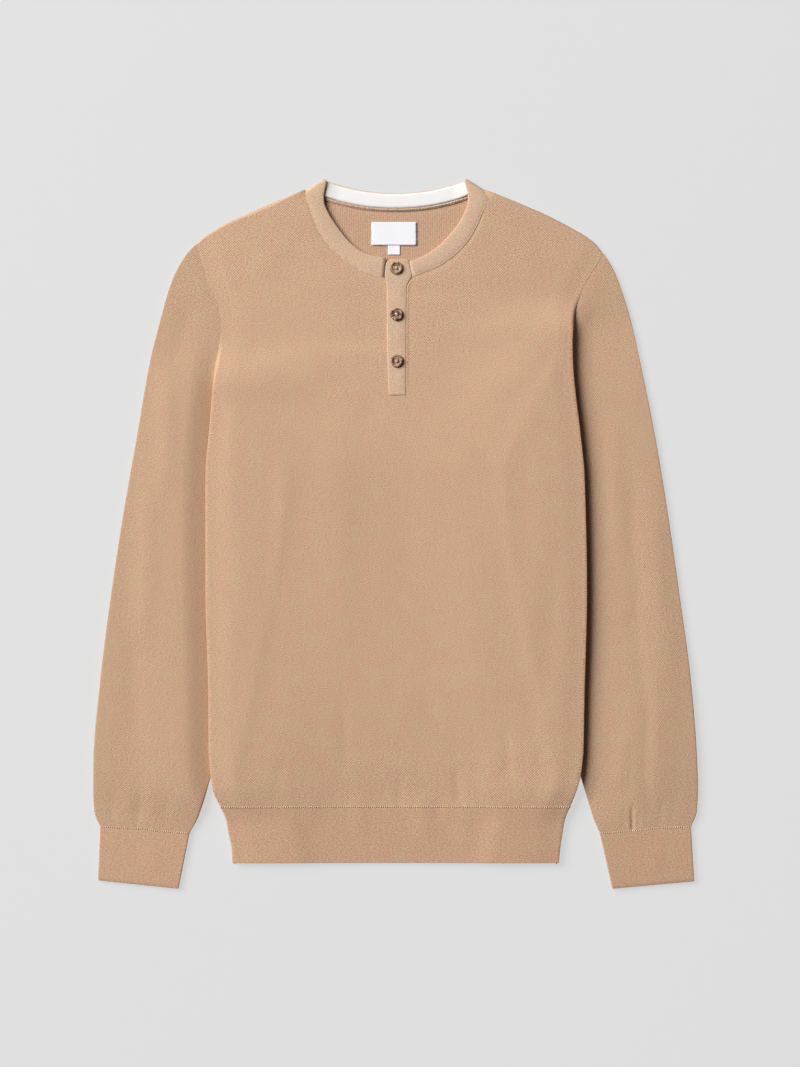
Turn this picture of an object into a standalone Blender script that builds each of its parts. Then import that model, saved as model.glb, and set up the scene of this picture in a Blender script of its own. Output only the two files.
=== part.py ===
"""Long-sleeved henley sweater laid flat, its sides and inner sleeves turned under the body.

Frame: +X to the viewer's right, +Y towards the neck, +Z up, lying on z = 0.
All sizes below are millimetres; MM turns them into metres when a mesh is placed.
"""

import math
from collections import namedtuple

import bmesh
import bpy

MM = 0.001

# Cloth: one knit wall, the gap between layers, and the step from one layer to the next.
WALL = 1.6
GAP = 0.3
LAYER = WALL + GAP
BAND_WALL = 2.6
BACK_TAPER = 4.5
TAPE_WALL = 1.0
LABEL_WALL = 0.6

# A flattened sleeve, and the fold that turns the body's four layers over it.
SLEEVE_HEIGHT = 5.0
FOLD_RADIUS = (4 * WALL + 3 * GAP) / 2
FLAT_EDGE = 3.0
LEAST_STRIP = 0.6
LEAST_TURN = 0.03
SEAM_HALF_GAP = 0.2
CAP_DROP = 2.1
CAP_EASE = 0.6
CAP_EASE_LEVEL = 0.01
UNDERARM_CLEAR = 5.0
HIDDEN_SEAM_EASE = 8.0

# Heights of the front panel above the back one: at the armholes and beside the neck.
ARMHOLE_PUFF = 1.5
ARMHOLE_PUFF_REACH = 90.0
ARMHOLE_CLOSES_AT = 0.35
NECK_PUFF = 2.4
NECK_PUFF_STARTS = (20.0, 70.0)
NECK_PUFF_ENDS = (110.0, 190.0)
NECK_PUFF_HEIGHT = (255.0, 335.0)
AIR = 0.3
AIR_REACH = 15.0
CLOSING_AIR = 0.3
SHOULDER_TURN = math.radians(80)
SHOULDER_END = 2.9
FLAT_ROLL = 2.0

# Where the layers step down again beside what lies under them.
SLEEVE_MARGIN = 19.0
STRIP_MARGIN = 6.0
STEP_LENGTH = 34.0
LEAST_COVER = 30.0

# Share of a panel's length in which its columns spread from the neck curve to even places.
NECK_SPREAD = 0.35

HEM_SEAM = -279.0
HEM_END = -336.2
UNDERARM = 66.7
BODY_SETTLES = (-255.0, -300.0)

# Visible side edges of the body: the armhole seams first, then the folds.
BodyRow = namedtuple("BodyRow", "y left right")
BODY = (
    BodyRow(296.2, -202.5, 212.5),
    BodyRow(286.0, -200.0, 211.7),
    BodyRow(270.0, -195.1, 202.8),
    BodyRow(250.0, -189.0, 191.2),
    BodyRow(230.0, -180.0, 185.2),
    BodyRow(214.0, -177.9, 182.2),
    BodyRow(193.0, -180.0, 180.6),
    BodyRow(171.0, -184.0, 181.2),
    BodyRow(147.0, -186.2, 183.2),
    BodyRow(104.0, -190.0, 188.4),
    BodyRow(54.0, -193.7, 193.0),
    BodyRow(-60.0, -193.6, 195.3),
    BodyRow(-164.0, -190.8, 192.8),
    BodyRow(-219.0, -190.4, 191.7),
    BodyRow(-243.0, -188.7, 189.4),
    BodyRow(-262.0, -186.0, 184.4),
    BodyRow(-278.0, -179.0, 178.3),
    BodyRow(-292.0, -173.0, 173.0),
    BodyRow(-305.0, -170.7, 170.7),
    BodyRow(-323.0, -167.2, 168.0),
    BodyRow(-336.2, -166.6, 166.8),
)

# Far end of what is turned under: the hidden armhole down to the underarm, then the side seam.
HiddenRow = namedtuple("HiddenRow", "y left right")
HIDDEN = (
    HiddenRow(192.0, -180.0, 181.0),
    HiddenRow(165.0, -184.5, 168.0),
    HiddenRow(136.0, -187.5, 152.5),
    HiddenRow(124.0, -177.0, 146.0),
    HiddenRow(103.0, -155.6, 134.5),
    HiddenRow(83.0, -136.2, 124.5),
    HiddenRow(66.7, -122.0, 119.0),
    HiddenRow(0.0, -125.0, 125.0),
    HiddenRow(-150.0, -126.0, 127.0),
    HiddenRow(-262.0, -120.0, 120.0),
    HiddenRow(-336.2, -108.0, 108.0),
)

# Sleeves: the outer fold, and the inner fold from the underarm to the cuff.
SleeveRow = namedtuple("SleeveRow", "y left right")
SLEEVE_OUTER = (
    SleeveRow(296.2, -202.9, 203.0),
    SleeveRow(286.0, -212.8, 212.1),
    SleeveRow(272.0, -221.6, 221.0),
    SleeveRow(255.0, -229.4, 228.4),
    SleeveRow(217.6, -240.2, 240.2),
    SleeveRow(176.8, -250.4, 249.4),
    SleeveRow(95.2, -264.7, 265.7),
    SleeveRow(13.6, -279.0, 279.0),
    SleeveRow(-68.0, -291.2, 290.6),
    SleeveRow(-149.6, -301.4, 301.4),
    SleeveRow(-231.2, -308.3, 307.7),
    SleeveRow(-262.0, -308.6, 308.6),
    SleeveRow(-284.0, -307.5, 307.5),
    SleeveRow(-299.5, -301.4, 301.6),
)
SLEEVE_INNER = (
    SleeveRow(66.7, -122.0, 119.0),
    SleeveRow(-100.0, -156.0, 156.0),
    SleeveRow(-230.0, -182.5, 183.0),
    SleeveRow(-252.0, -189.6, 190.2),
    SleeveRow(-272.0, -195.3, 196.3),
    SleeveRow(-292.0, -202.5, 202.5),
    SleeveRow(-306.0, -210.4, 208.6),
)

# Outlines in plan, as (x, y) points that smooth curves run through.
SHOULDER_LEFT = ((-202.5, 296.2), (-194.3, 303.3), (-174.9, 315.5), (-148.4, 327.8), (-92.4, 350.9))
SHOULDER_RIGHT = ((211.7, 286.0), (202.5, 297.2), (172.9, 315.5), (148.4, 327.8), (91.6, 350.9))
NECKLINE_LEFT = ((-92.4, 350.9), (-90.3, 342.1), (-82.6, 320.1), (-72.9, 301.3), (-60.7, 287.0),
                 (-44.4, 274.7), (-28.1, 265.6), (-12.1, 260.5))
NECKLINE_RIGHT = ((91.6, 350.9), (91.7, 339.0), (86.7, 322.7), (75.6, 301.3), (61.7, 285.4),
                  (44.4, 273.1), (30.1, 267.0), (17.5, 262.0))
BAND_INNER_LEFT = ((-72.9, 354.0), (-72.7, 339.0), (-67.8, 326.2), (-56.6, 309.4), (-44.4, 295.1),
                   (-28.1, 284.9), (-10.7, 280.9))
BAND_INNER_RIGHT = ((74.0, 354.0), (73.7, 339.0), (68.2, 322.7), (55.6, 305.3), (42.3, 292.1),
                    (26.0, 281.9), (14.2, 277.5))
BACK_NECKLINE = ((-92.4, 350.9), (-77.0, 342.6), (-51.5, 334.9), (-26.0, 330.5), (0.0, 329.2),
                 (25.0, 330.5), (51.5, 334.9), (76.0, 342.6), (91.6, 350.9))
BACK_RIM = ((-69.0, 359.3), (-51.5, 354.3), (-26.0, 349.2), (0.0, 347.5), (25.0, 349.2),
            (51.5, 354.3), (69.0, 359.3))
CUFF_SEAM_LEFT = ((-301.4, -299.5), (-260.6, -301.4), (-242.2, -303.6), (-210.4, -306.0))
CUFF_SEAM_RIGHT = ((301.6, -299.5), (269.8, -300.6), (244.3, -303.4), (208.6, -306.0))
CUFF_END_LEFT = ((-303.7, -354.0), (-221.7, -362.6))
CUFF_END_RIGHT = ((304.9, -355.0), (221.4, -362.6))
NECK_TIP_LEFT = ((-91.0, 350.6), (-72.1, 362.6))
NECK_TIP_RIGHT = ((90.4, 350.6), (71.9, 362.6))

# The tape on the back neckband: shares of the neck curve, and of the band from its seam to its rim.
TAPE_ALONG = (0.08, 0.92)
TAPE_ACROSS = (0.93, 0.20)

# Placket, buttons, label and size tag, as extents in plan.
Patch = namedtuple("Patch", "left right bottom top")
SLOT = Patch(-9.0, 11.5, 139.5, 300.0)
PLACKET_TOP = Patch(-8.7, 11.2, 141.1, 279.8)
PLACKET_UNDER = Patch(-8.6, 11.1, 140.0, 276.0)
PLACKET_CORNER = 3.0
SLOT_CUTTER_HEIGHT = 40.0
LABEL = Patch(-24.5, 21.5, 294.3, 317.9)
SIZE_TAG = Patch(-7.7, 4.6, 284.6, 294.0)
BUTTON_CENTRES = ((0.7, 270.6), (1.0, 223.1), (1.2, 175.7))
BUTTON_RADIUS = 6.5
BUTTON_HEIGHT = 2.6
BUTTON_HOLE_RADIUS = 0.85
BUTTON_HOLE_OFFSET = 1.45
# Half section of a button, as shares of its radius and of its height.
BUTTON_PROFILE = ((0.0, 0.0), (0.8, 0.0), (1.0, 0.35), (1.0, 0.75), (0.9, 1.0), (0.7, 1.0),
                  (0.55, 0.72), (0.0, 0.72))

# How finely each stretch is divided.
STRIP_STEPS = 4
FOLD_STEPS = 4
SHOULDER_STEPS = 2
NECK_STEPS = 5
SLOT_STEPS = 2
ROLL_STEPS = 2
BODY_LEVELS = (0, 0.03, 0.07, 0.11, 0.145, 0.18, 0.215, 0.245, 0.275, 0.31, 0.355, 0.40, 0.56, 0.78, 0.92, 1)
HEM_LEVELS = (0, 0.5, 1)
SLEEVE_LEVELS = (0, 0.08, 0.18, 0.32, 0.50, 0.68, 0.84, 0.94, 1)
CUFF_LEVELS = (0, 1)
UNDERSIDE_STEPS = 5
UNDERSIDE_SKIP = 3
CUFF_STEPS = 5
TUBE_FOLD_ANGLES = (30, 60, 90)
BAND_TURN_ANGLES = (0, 45, 90, 135, 180)
CORNER_STEPS = 4
BUTTON_STEPS = 20
HOLE_STEPS = 8

Side = namedtuple("Side", "name sign fold_from fold_to")
LEFT = Side("left", -1, 205.0, 136.0)
RIGHT = Side("right", 1, 250.0, 192.0)


# ---------------------------------------------------------------- curves

def blend(start, end, share):
    return start + (end - start) * share


def smoothstep(value):
    value = min(max(value, 0.0), 1.0)
    return value * value * (3 - 2 * value)


def lookup(knots, values, at):
    """Value at `at` on a smooth curve through rising knots, with no overshoot between them."""
    at = min(max(at, knots[0]), knots[-1])
    spans = [after - before for before, after in zip(knots, knots[1:])]
    slopes = [(after - before) / span for before, after, span in zip(values, values[1:], spans)]
    tangents = [slopes[0]]
    for before, after in zip(slopes, slopes[1:]):
        tangents.append(2 * before * after / (before + after) if before * after > 0 else 0.0)
    tangents.append(slopes[-1])
    step = max(index for index in range(len(spans)) if knots[index] <= at)
    t = (at - knots[step]) / spans[step]
    rise = values[step + 1] - values[step]
    start, end = tangents[step] * spans[step], tangents[step + 1] * spans[step]
    return values[step] + t * start + t * t * (3 * rise - 2 * start - end) + t ** 3 * (start + end - 2 * rise)


def row_value(table, side, y):
    """A table's column for one side, at height y up the garment."""
    rows = sorted(table)
    return lookup([row.y for row in rows], [getattr(row, side.name) for row in rows], y)


def shoulder_of(side):
    """Outline points of one shoulder, from its tip to the neck corner."""
    return SHOULDER_LEFT if side is LEFT else SHOULDER_RIGHT


def cuff_seam_of(side):
    """Outline points of one cuff seam, from the sleeve's outer fold to its inner one."""
    return CUFF_SEAM_LEFT if side is LEFT else CUFF_SEAM_RIGHT


def ramp(ends, value):
    """Smooth 0 to 1 as a value passes from the first end to the second."""
    return smoothstep((value - ends[0]) / (ends[1] - ends[0]))


def point_on(points, share):
    """Point at a share of the length of the smooth curve through (x, y) points."""
    knots = [0.0]
    for before, after in zip(points, points[1:]):
        knots.append(knots[-1] + math.dist(before, after))
    at = share * knots[-1]
    return tuple(lookup(knots, [point[axis] for point in points], at) for axis in (0, 1))


# ---------------------------------------------------------------- body layers

def fold_share(side, y):
    """0 where the side edge is a flat armhole seam, 1 where it is folded right under."""
    return smoothstep((side.fold_from - y) / (side.fold_from - side.fold_to))


def rest_height(side, y):
    """Height of the fold's underside: on the sleeve, then down to the ground at the hem."""
    top, bottom = BODY_SETTLES
    on_sleeve = SLEEVE_HEIGHT + GAP * fold_share(side, y)
    return on_sleeve * (1 - smoothstep((top - y) / (top - bottom)))


def fold_shape(side, y):
    """Turn angle, radius and centre x of the side fold's outer face at height y."""
    share = fold_share(side, y)
    turn = max(LEAST_TURN, math.pi * share)
    radius = blend(FLAT_EDGE, math.pi * FOLD_RADIUS, share) / turn
    reach = radius * math.sin(min(turn, math.pi / 2)) + LEAST_STRIP * max(0.0, math.cos(turn))
    edge = row_value(BODY, side, y) - side.sign * SEAM_HALF_GAP
    return turn, radius, edge - side.sign * reach


def strip_end(side, y):
    """x of the far end of what is turned under; where nothing is, just inside the fold."""
    centre = fold_shape(side, y)[2]
    if y >= side.fold_to:
        return centre
    hidden = row_value(HIDDEN, side, y) + side.sign * SEAM_HALF_GAP
    return min(hidden, centre) if side.sign > 0 else max(hidden, centre)


def sleeve_limit(side, y):
    """x of the inner limit of the sleeve, as far as it runs under the body."""
    centre = fold_shape(side, y)[2]
    if y >= side.fold_to:
        return centre
    table = HIDDEN if y > UNDERARM else SLEEVE_INNER
    inner = row_value(table, side, y)
    return min(inner, centre) if side.sign > 0 else max(inner, centre)


def step_down(side, x, limit, margin):
    """1 over what lies beneath, falling smoothly to 0 further inside."""
    inside = side.sign * (limit - x)
    return 1 - smoothstep((inside - margin) / STEP_LENGTH)


def armhole_air(side, y):
    """Air between front and back at the armhole seam, gone where the fold begins to close."""
    return ARMHOLE_PUFF * (1 - smoothstep(fold_share(side, y) / ARMHOLE_CLOSES_AT))


def lift(x, y):
    """Height of the back panel's underside over the sleeves and the parts turned under."""
    side = LEFT if x < 0 else RIGHT
    turn, radius, _ = fold_shape(side, y)
    share = fold_share(side, y)
    rest = rest_height(side, y)
    total = rest + radius * (1 - math.cos(turn)) - WALL - LAYER - armhole_air(side, y)
    strips = 2 * LAYER * share
    over_sleeve = (total - strips) * step_down(side, x, sleeve_limit(side, y), SLEEVE_MARGIN)
    return max(0.0, over_sleeve + strips * step_down(side, x, strip_end(side, y), STRIP_MARGIN))


def puff(x, y):
    """Air between the front and the back panel."""
    side = LEFT if x < 0 else RIGHT
    inside = side.sign * (fold_shape(side, y)[2] - x)
    at_armhole = armhole_air(side, y) * (1 - smoothstep(inside / ARMHOLE_PUFF_REACH))
    beside_neck = ramp(NECK_PUFF_STARTS, abs(x)) * (1 - ramp(NECK_PUFF_ENDS, abs(x)))
    at_neck = NECK_PUFF * beside_neck * ramp(NECK_PUFF_HEIGHT, y)
    return at_armhole + AIR * smoothstep(inside / AIR_REACH) + at_neck


def front_top(x, y):
    return WALL + lift(x, y) + LAYER + puff(x, y)


def back_top(x, y):
    return WALL + lift(x, y)


Layer = namedtuple("Layer", "inset top")
FRONT = Layer(0.0, front_top)
BACK = Layer(LAYER, back_top)


def fold_point(layer, side, y, share):
    """A point round the side fold, from its lower end (share 0) to its top (share 1)."""
    turn, radius, centre = fold_shape(side, y)
    radius -= layer.inset * (1 + CLOSING_AIR * math.sin(math.pi * fold_share(side, y)))
    angle = turn * (1 - share)
    middle = layer.top(centre, y) - radius
    return centre + side.sign * radius * math.sin(angle), y, middle + radius * math.cos(angle)


def strip_point(layer, side, y, share):
    """A point on what is turned under, from the fold (share 0) to its far end (share 1)."""
    x, _, z = fold_point(layer, side, y, 0)
    turn, _, centre = fold_shape(side, y)
    width = max(abs(strip_end(side, y) - centre), LEAST_STRIP)
    along = width * share
    x += side.sign * math.cos(turn) * along
    z -= math.sin(turn) * along
    sag = rest_height(side, y) * (1 - step_down(side, x, sleeve_limit(side, y), SLEEVE_MARGIN))
    return x, y, z - sag * fold_share(side, y)


def cover_x(side, y, share):
    """x on the main panel above the turned-under part, from the fold (share 0) inwards."""
    centre = fold_shape(side, y)[2]
    width = max(abs(strip_end(side, y) - centre), LEAST_COVER)
    return centre - side.sign * width * share


# ---------------------------------------------------------------- panel grids

def shoulder_height(side, x):
    """y of the shoulder's outline at x."""
    points = sorted(shoulder_of(side))
    return lookup([point[0] for point in points], [point[1] for point in points], x)


Column = namedtuple("Column", "kind side share top")


def half_columns(layer, side, neckline):
    """Columns of one half, from the turned-under end to the neck's centre."""
    tip = shoulder_of(side)[0][1]
    corner = neckline[0][0]
    columns = []
    for step in range(STRIP_STEPS, 0, -1):
        share = step / STRIP_STEPS
        columns.append(Column("strip", side, share, strip_point(layer, side, tip, share)[:2]))
    for step in range(FOLD_STEPS):
        share = step / FOLD_STEPS
        x = fold_point(layer, side, tip, share)[0]
        columns.append(Column("fold", side, share, (x, shoulder_height(side, x))))
    for step in range(STRIP_STEPS + 1):
        share = step / STRIP_STEPS
        x = cover_x(side, tip, share)
        columns.append(Column("cover", side, share, (x, shoulder_height(side, x))))
    for step in range(1, SHOULDER_STEPS):
        share = step / SHOULDER_STEPS
        x = blend(cover_x(side, tip, 1), corner, share)
        columns.append(Column("shoulder", side, share, (x, shoulder_height(side, x))))
    for point in neckline:
        columns.append(Column("neck", side, None, point))
    return columns


def neckline_points(curve, steps):
    return [point_on(curve, step / steps) for step in range(steps + 1)]


def front_neckline():
    """Neck points of the front: left curve, between the placket's edges, right curve."""
    left, right = neckline_points(NECKLINE_LEFT, NECK_STEPS), neckline_points(NECKLINE_RIGHT, NECK_STEPS)
    between = [tuple(blend(left[-1][axis], right[-1][axis], step / SLOT_STEPS) for axis in (0, 1))
               for step in range(1, SLOT_STEPS)]
    return left, between, right


def back_neckline():
    """Neck points of the back, in the same three groups as the front's."""
    points = neckline_points(BACK_NECKLINE, 2 * NECK_STEPS + SLOT_STEPS)
    first, last = NECK_STEPS, NECK_STEPS + SLOT_STEPS
    return points[:first + 1], points[first + 1:last], points[:last - 1:-1]


def panel_columns(layer, neckline):
    """All columns of a panel from its left turned-under end to its right one."""
    left, between, right = neckline
    middle = [Column("neck", LEFT, None, point) for point in between]
    return half_columns(layer, LEFT, left) + middle + half_columns(layer, RIGHT, right)[::-1]


def outward(columns, index):
    """Unit direction in plan that points out of the panel across its top edge."""
    if columns[index].kind in ("strip", "fold"):
        return 0.0, 1.0
    before = columns[max(index - 1, 0)].top
    after = columns[min(index + 1, len(columns) - 1)].top
    length = math.dist(before, after)
    return -(after[1] - before[1]) / length, (after[0] - before[0]) / length


def neck_share(columns, index):
    """Where a neck column stands between the two neck corners, 0 to 1."""
    first = next(i for i, column in enumerate(columns) if column.kind == "neck")
    last = max(i for i, column in enumerate(columns) if column.kind == "neck")
    return (index - first) / (last - first)


def column_point(layer, columns, index, start, level, end_y):
    """A point of a panel on one column, at a level from its top edge (0) to end_y (1)."""
    column = columns[index]
    y = blend(start[1], end_y, level)
    if column.kind == "strip":
        return strip_point(layer, column.side, y, column.share)
    if column.kind == "fold":
        return fold_point(layer, column.side, y, column.share)
    corners = NECKLINE_LEFT[0][0], NECKLINE_RIGHT[0][0]
    if column.kind == "cover":
        x = cover_x(column.side, y, column.share)
    elif column.kind == "shoulder":
        corner = corners[0] if column.side is LEFT else corners[1]
        x = blend(cover_x(column.side, y, 1), corner, column.share)
    else:
        spread = blend(*corners, neck_share(columns, index))
        x = blend(start[0], spread, smoothstep(level / NECK_SPREAD))
    return x, y, layer.top(x, y)


def body_panel(layer, neckline, shoulder_turn):
    """Rows of points of a body panel; its first rows turn down along the shoulders."""
    columns = panel_columns(layer, neckline)
    rows = [[] for _ in range(ROLL_STEPS + len(BODY_LEVELS))]
    for index, column in enumerate(columns):
        direction = outward(columns, index)
        flat = column.kind == "neck" and 0 < neck_share(columns, index) < 1
        turn = LEAST_TURN if flat else shoulder_turn
        drop = layer.top(*column.top) - SHOULDER_END if turn > LEAST_TURN else 0.0
        radius = drop / (1 - math.cos(turn)) if drop else FLAT_ROLL / turn
        reach = radius * math.sin(turn)
        start = column.top[0] - direction[0] * reach, column.top[1] - direction[1] * reach
        first = column_point(layer, columns, index, start, 0, HEM_SEAM)
        for step in range(ROLL_STEPS):
            angle = turn * (1 - step / ROLL_STEPS)
            out = radius * math.sin(angle)
            down = radius * (1 - math.cos(angle)) if drop else 0.0
            rows[step].append((first[0] + direction[0] * out, first[1] + direction[1] * out, first[2] - down))
        for number, level in enumerate(BODY_LEVELS):
            rows[ROLL_STEPS + number].append(
                column_point(layer, columns, index, start, level, HEM_SEAM + SEAM_HALF_GAP))
    return rows


def hem_panel(layer, neckline):
    """Rows of points of a hem band, on the same columns as its panel."""
    columns = panel_columns(layer, neckline)
    top = HEM_SEAM - SEAM_HALF_GAP
    rows = []
    for level in HEM_LEVELS:
        y = blend(top, HEM_END, level)
        rows.append([column_point(layer, columns, index, (column.top[0], y), 1, y)
                     for index, column in enumerate(columns)])
    return rows


# ---------------------------------------------------------------- sleeves

def tube_ring(across, beneath, height):
    """Ring of (place, z) pairs round a flattened tube with half-round folds.

    Its top face is sampled at the shares in across, its underside at those in beneath.
    """
    radius = height / 2
    angles = [math.radians(angle) for angle in TUBE_FOLD_ANGLES]
    ends = [(1 - math.cos(angle), math.sin(angle)) for angle in angles]
    top = [(("near", radius * back), radius + radius * rise) for back, rise in ends]
    top += [(("share", share), height) for share in across]
    top += [(("far", radius * back), radius + radius * rise) for back, rise in reversed(ends)]
    under = [(("far", radius * back), radius - radius * rise) for back, rise in ends]
    under += [(("share", share), 0.0) for share in reversed(beneath)]
    under += [(("near", radius * back), radius - radius * rise) for back, rise in reversed(ends)]
    return [(("near", 0.0), radius)] + top + [(("far", 0.0), radius)] + under


def share_across(place, width):
    """Share of the width at a ring place: measured from either fold, or a share already."""
    kind, amount = place
    if kind == "near":
        return amount / width
    if kind == "far":
        return 1 - amount / width
    return amount


def coons(across, along):
    """Point function of the patch between four border curves: top, bottom, outer and inner."""
    top, bottom, outer, inner = across[0], across[1], along[0], along[1]

    def place(share, level):
        sides = [blend(outer(level)[axis], inner(level)[axis], share) for axis in (0, 1)]
        ends = [blend(top(share)[axis], bottom(share)[axis], level) for axis in (0, 1)]
        corners = [blend(blend(top(0)[axis], top(1)[axis], share),
                         blend(bottom(0)[axis], bottom(1)[axis], share), level) for axis in (0, 1)]
        return tuple(side + end - corner for side, end, corner in zip(sides, ends, corners))

    return place


def armhole_levels(side):
    """Heights where the armhole seam is sampled: the body panel's own levels, to the underarm."""
    tip = shoulder_of(side)[0][1]
    levels = [blend(tip - CAP_DROP, HEM_SEAM, level) for level in BODY_LEVELS]
    lower = [y for y in levels[1:] if y > UNDERARM + UNDERARM_CLEAR]
    return [levels[0] - CAP_DROP] + lower + [UNDERARM]


def armhole_point(side, y):
    """The sleeve's cap seam: the visible armhole, then the hidden one down to the underarm."""
    x = row_value(BODY, side, y) if y >= side.fold_to else row_value(HIDDEN, side, y)
    near_fold = smoothstep((side.fold_to - y) / HIDDEN_SEAM_EASE)
    edge = row_value(BODY, side, y)
    return blend(edge, x, near_fold) + side.sign * SEAM_HALF_GAP, y


def sleeve_places(side):
    """The sleeve's patch function and the shares across it that its top face is sampled at."""
    heights = armhole_levels(side)
    seam = [armhole_point(side, y) for y in heights]
    seam[0] = seam[0][0] + side.sign * CAP_EASE, seam[0][1]
    lengths = [0.0]
    for before, after in zip(seam, seam[1:]):
        lengths.append(lengths[-1] + math.dist(before, after))
    shares = [length / lengths[-1] for length in lengths]

    def cap(share):
        return tuple(lookup(shares, [point[axis] for point in seam], share) for axis in (0, 1))

    def wrist(share):
        return point_on(cuff_seam_of(side), share)

    def outer(level):
        y = blend(seam[0][1], wrist(0)[1], level)
        at_cap = max(0.0, 1 - level / CAP_EASE_LEVEL)
        return blend(row_value(SLEEVE_OUTER, side, y), seam[0][0], at_cap), y

    def inner(level):
        y = blend(seam[-1][1], wrist(1)[1], level)
        return row_value(SLEEVE_INNER, side, y), y

    return coons((cap, wrist), (outer, inner)), shares[1:-1]


def cuff_places(side):
    """The cuff's patch function, from its seam (level 0) to its end (level 1)."""
    seam = cuff_seam_of(side)
    end = CUFF_END_LEFT if side is LEFT else CUFF_END_RIGHT

    def place(share, level):
        above, below = point_on(seam, share), point_on(end, share)
        return tuple(blend(above[axis], below[axis], level) for axis in (0, 1))

    return place


def tube_rows(place, across, beneath, levels, shift=0.0):
    """Rings of points down a flattened tube whose plan is a patch function."""
    rows = []
    for level in levels:
        width = math.dist(place(0, level), place(1, level))
        ring = []
        for where, z in tube_ring(across, beneath, SLEEVE_HEIGHT):
            x, y = place(share_across(where, width), level)
            ring.append((x, y + shift, z))
        rows.append(ring)
    return rows


# ---------------------------------------------------------------- neckband

def band_arm(neckline, inner_curve):
    """Stations of a front arm of the neckband, from the placket to the neck tip."""
    stations = []
    for step in range(NECK_STEPS, 0, -1):
        outer = neckline[step]
        inner = point_on(inner_curve, step / NECK_STEPS)
        towards = math.dist(outer, inner)
        start = [blend(outer[axis], inner[axis], 2 * SEAM_HALF_GAP / towards) for axis in (0, 1)]
        z = front_top(*outer) + BAND_WALL - WALL
        stations.append(((*start, z), (*inner, z)))
    return stations


def band_turn(tip):
    """Stations round the neck tip, where the band folds from the front over to the back."""
    outer, inner = tip
    length = math.dist(outer, inner)
    out = (-(inner[1] - outer[1]) / length, (inner[0] - outer[0]) / length)
    if out[1] < 0:
        out = (-out[0], -out[1])
    height = front_top(*outer) + BAND_WALL - WALL
    radius = height / 2
    stations = []
    for angle in BAND_TURN_ANGLES:
        reach = radius * (math.sin(math.radians(angle)) - 1)
        z = radius + radius * math.cos(math.radians(angle))
        taper = BACK_TAPER * (1 - math.cos(math.radians(angle))) / 2
        along = [(inner[axis] - outer[axis]) / length * taper for axis in (0, 1)]
        points = (outer[0] + along[0], outer[1] + along[1]), inner
        stations.append(tuple((point[0] + out[0] * reach, point[1] + out[1] * reach, z) for point in points))
    return stations


def back_band_places(share, across):
    """Plan point of the back stretch of the neckband: across is 0 at its seam, 1 at its rim."""
    seam, rim = point_on(BACK_NECKLINE, share), point_on(BACK_RIM, share)
    width = math.dist(seam, rim)
    across = blend(2 * SEAM_HALF_GAP / width, 1, across)
    return tuple(blend(seam[axis], rim[axis], across) for axis in (0, 1))


def neckband_rows():
    """The whole neckband as one strip: left arm, left turn, back, right turn, right arm."""
    left, _, right = front_neckline()
    steps = 2 * NECK_STEPS + SLOT_STEPS
    back = [tuple((*back_band_places(step / steps, across), 0.0) for across in (0, 1))
            for step in range(1, steps)]
    stations = band_arm(left, BAND_INNER_LEFT) + band_turn(NECK_TIP_LEFT) + back
    stations += band_turn(NECK_TIP_RIGHT)[::-1] + band_arm(right, BAND_INNER_RIGHT)[::-1]
    return [[station[0] for station in stations], [station[1] for station in stations]]


def tape_rows():
    """The tape that covers the inside of the back neckband, just below its rim."""
    steps = 2 * NECK_STEPS + SLOT_STEPS
    z = BAND_WALL + GAP + TAPE_WALL
    shares = [blend(*TAPE_ALONG, step / steps) for step in range(steps + 1)]
    return [[(*back_band_places(share, across), z) for share in shares] for across in TAPE_ACROSS]


# ---------------------------------------------------------------- objects

def principled(name, colour, roughness, metallic=0.0):
    material = bpy.data.materials.new(name)
    material.use_nodes = True
    shader = material.node_tree.nodes["Principled BSDF"]
    shader.inputs["Base Color"].default_value = (*colour, 1.0)
    shader.inputs["Roughness"].default_value = roughness
    shader.inputs["Metallic"].default_value = metallic
    return material


def add_object(name, mesh_data, material):
    mesh = bpy.data.meshes.new(name)
    mesh_data.to_mesh(mesh)
    mesh_data.free()
    mesh.materials.append(material)
    mesh.shade_smooth()
    item = bpy.data.objects.new(name, mesh)
    bpy.context.scene.collection.objects.link(item)
    return item


def thickened(item, wall):
    """Give a sheet its wall, below or inside the face that is drawn."""
    modifier = item.modifiers.new("Wall", "SOLIDIFY")
    modifier.thickness = wall * MM
    modifier.offset = -1
    return item


def cloth(name, rows, wall, material, closed=False, flip=False):
    """A knit wall: a grid of points on its outer face, thickened inwards."""
    across = len(rows[0]) + (1 if closed else 0)
    shell = bmesh.new()
    bmesh.ops.create_grid(shell, x_segments=across - 1, y_segments=len(rows) - 1, size=1)
    shell.verts.ensure_lookup_table()
    places = [place for row in reversed(rows) for place in (row + row[:1] if closed else row)]
    for vertex, place in zip(shell.verts, places):
        vertex.co = [value * MM for value in place]
    if closed:
        bmesh.ops.remove_doubles(shell, verts=shell.verts, dist=1e-7)
    if flip:
        bmesh.ops.reverse_faces(shell, faces=shell.faces)
    return thickened(add_object(name, shell, material), wall)


def patch(name, area, bottom, wall, material, corner=0.0):
    """A flat cloth rectangle lying at a height, with small rounded corners."""
    slab = bmesh.new()
    bmesh.ops.create_grid(slab, x_segments=1, y_segments=1, size=0.5)
    width, height = area.right - area.left, area.top - area.bottom
    centre = (area.left + area.right) / 2, (area.bottom + area.top) / 2
    for vertex in slab.verts:
        vertex.co = ((centre[0] + vertex.co.x * width) * MM, (centre[1] + vertex.co.y * height) * MM,
                     (bottom + wall) * MM)
    if corner:
        bmesh.ops.bevel(slab, geom=slab.verts, offset=corner * MM, segments=CORNER_STEPS, profile=0.5,
                        affect="VERTICES")
    return thickened(add_object(name, slab, material), wall)


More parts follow.
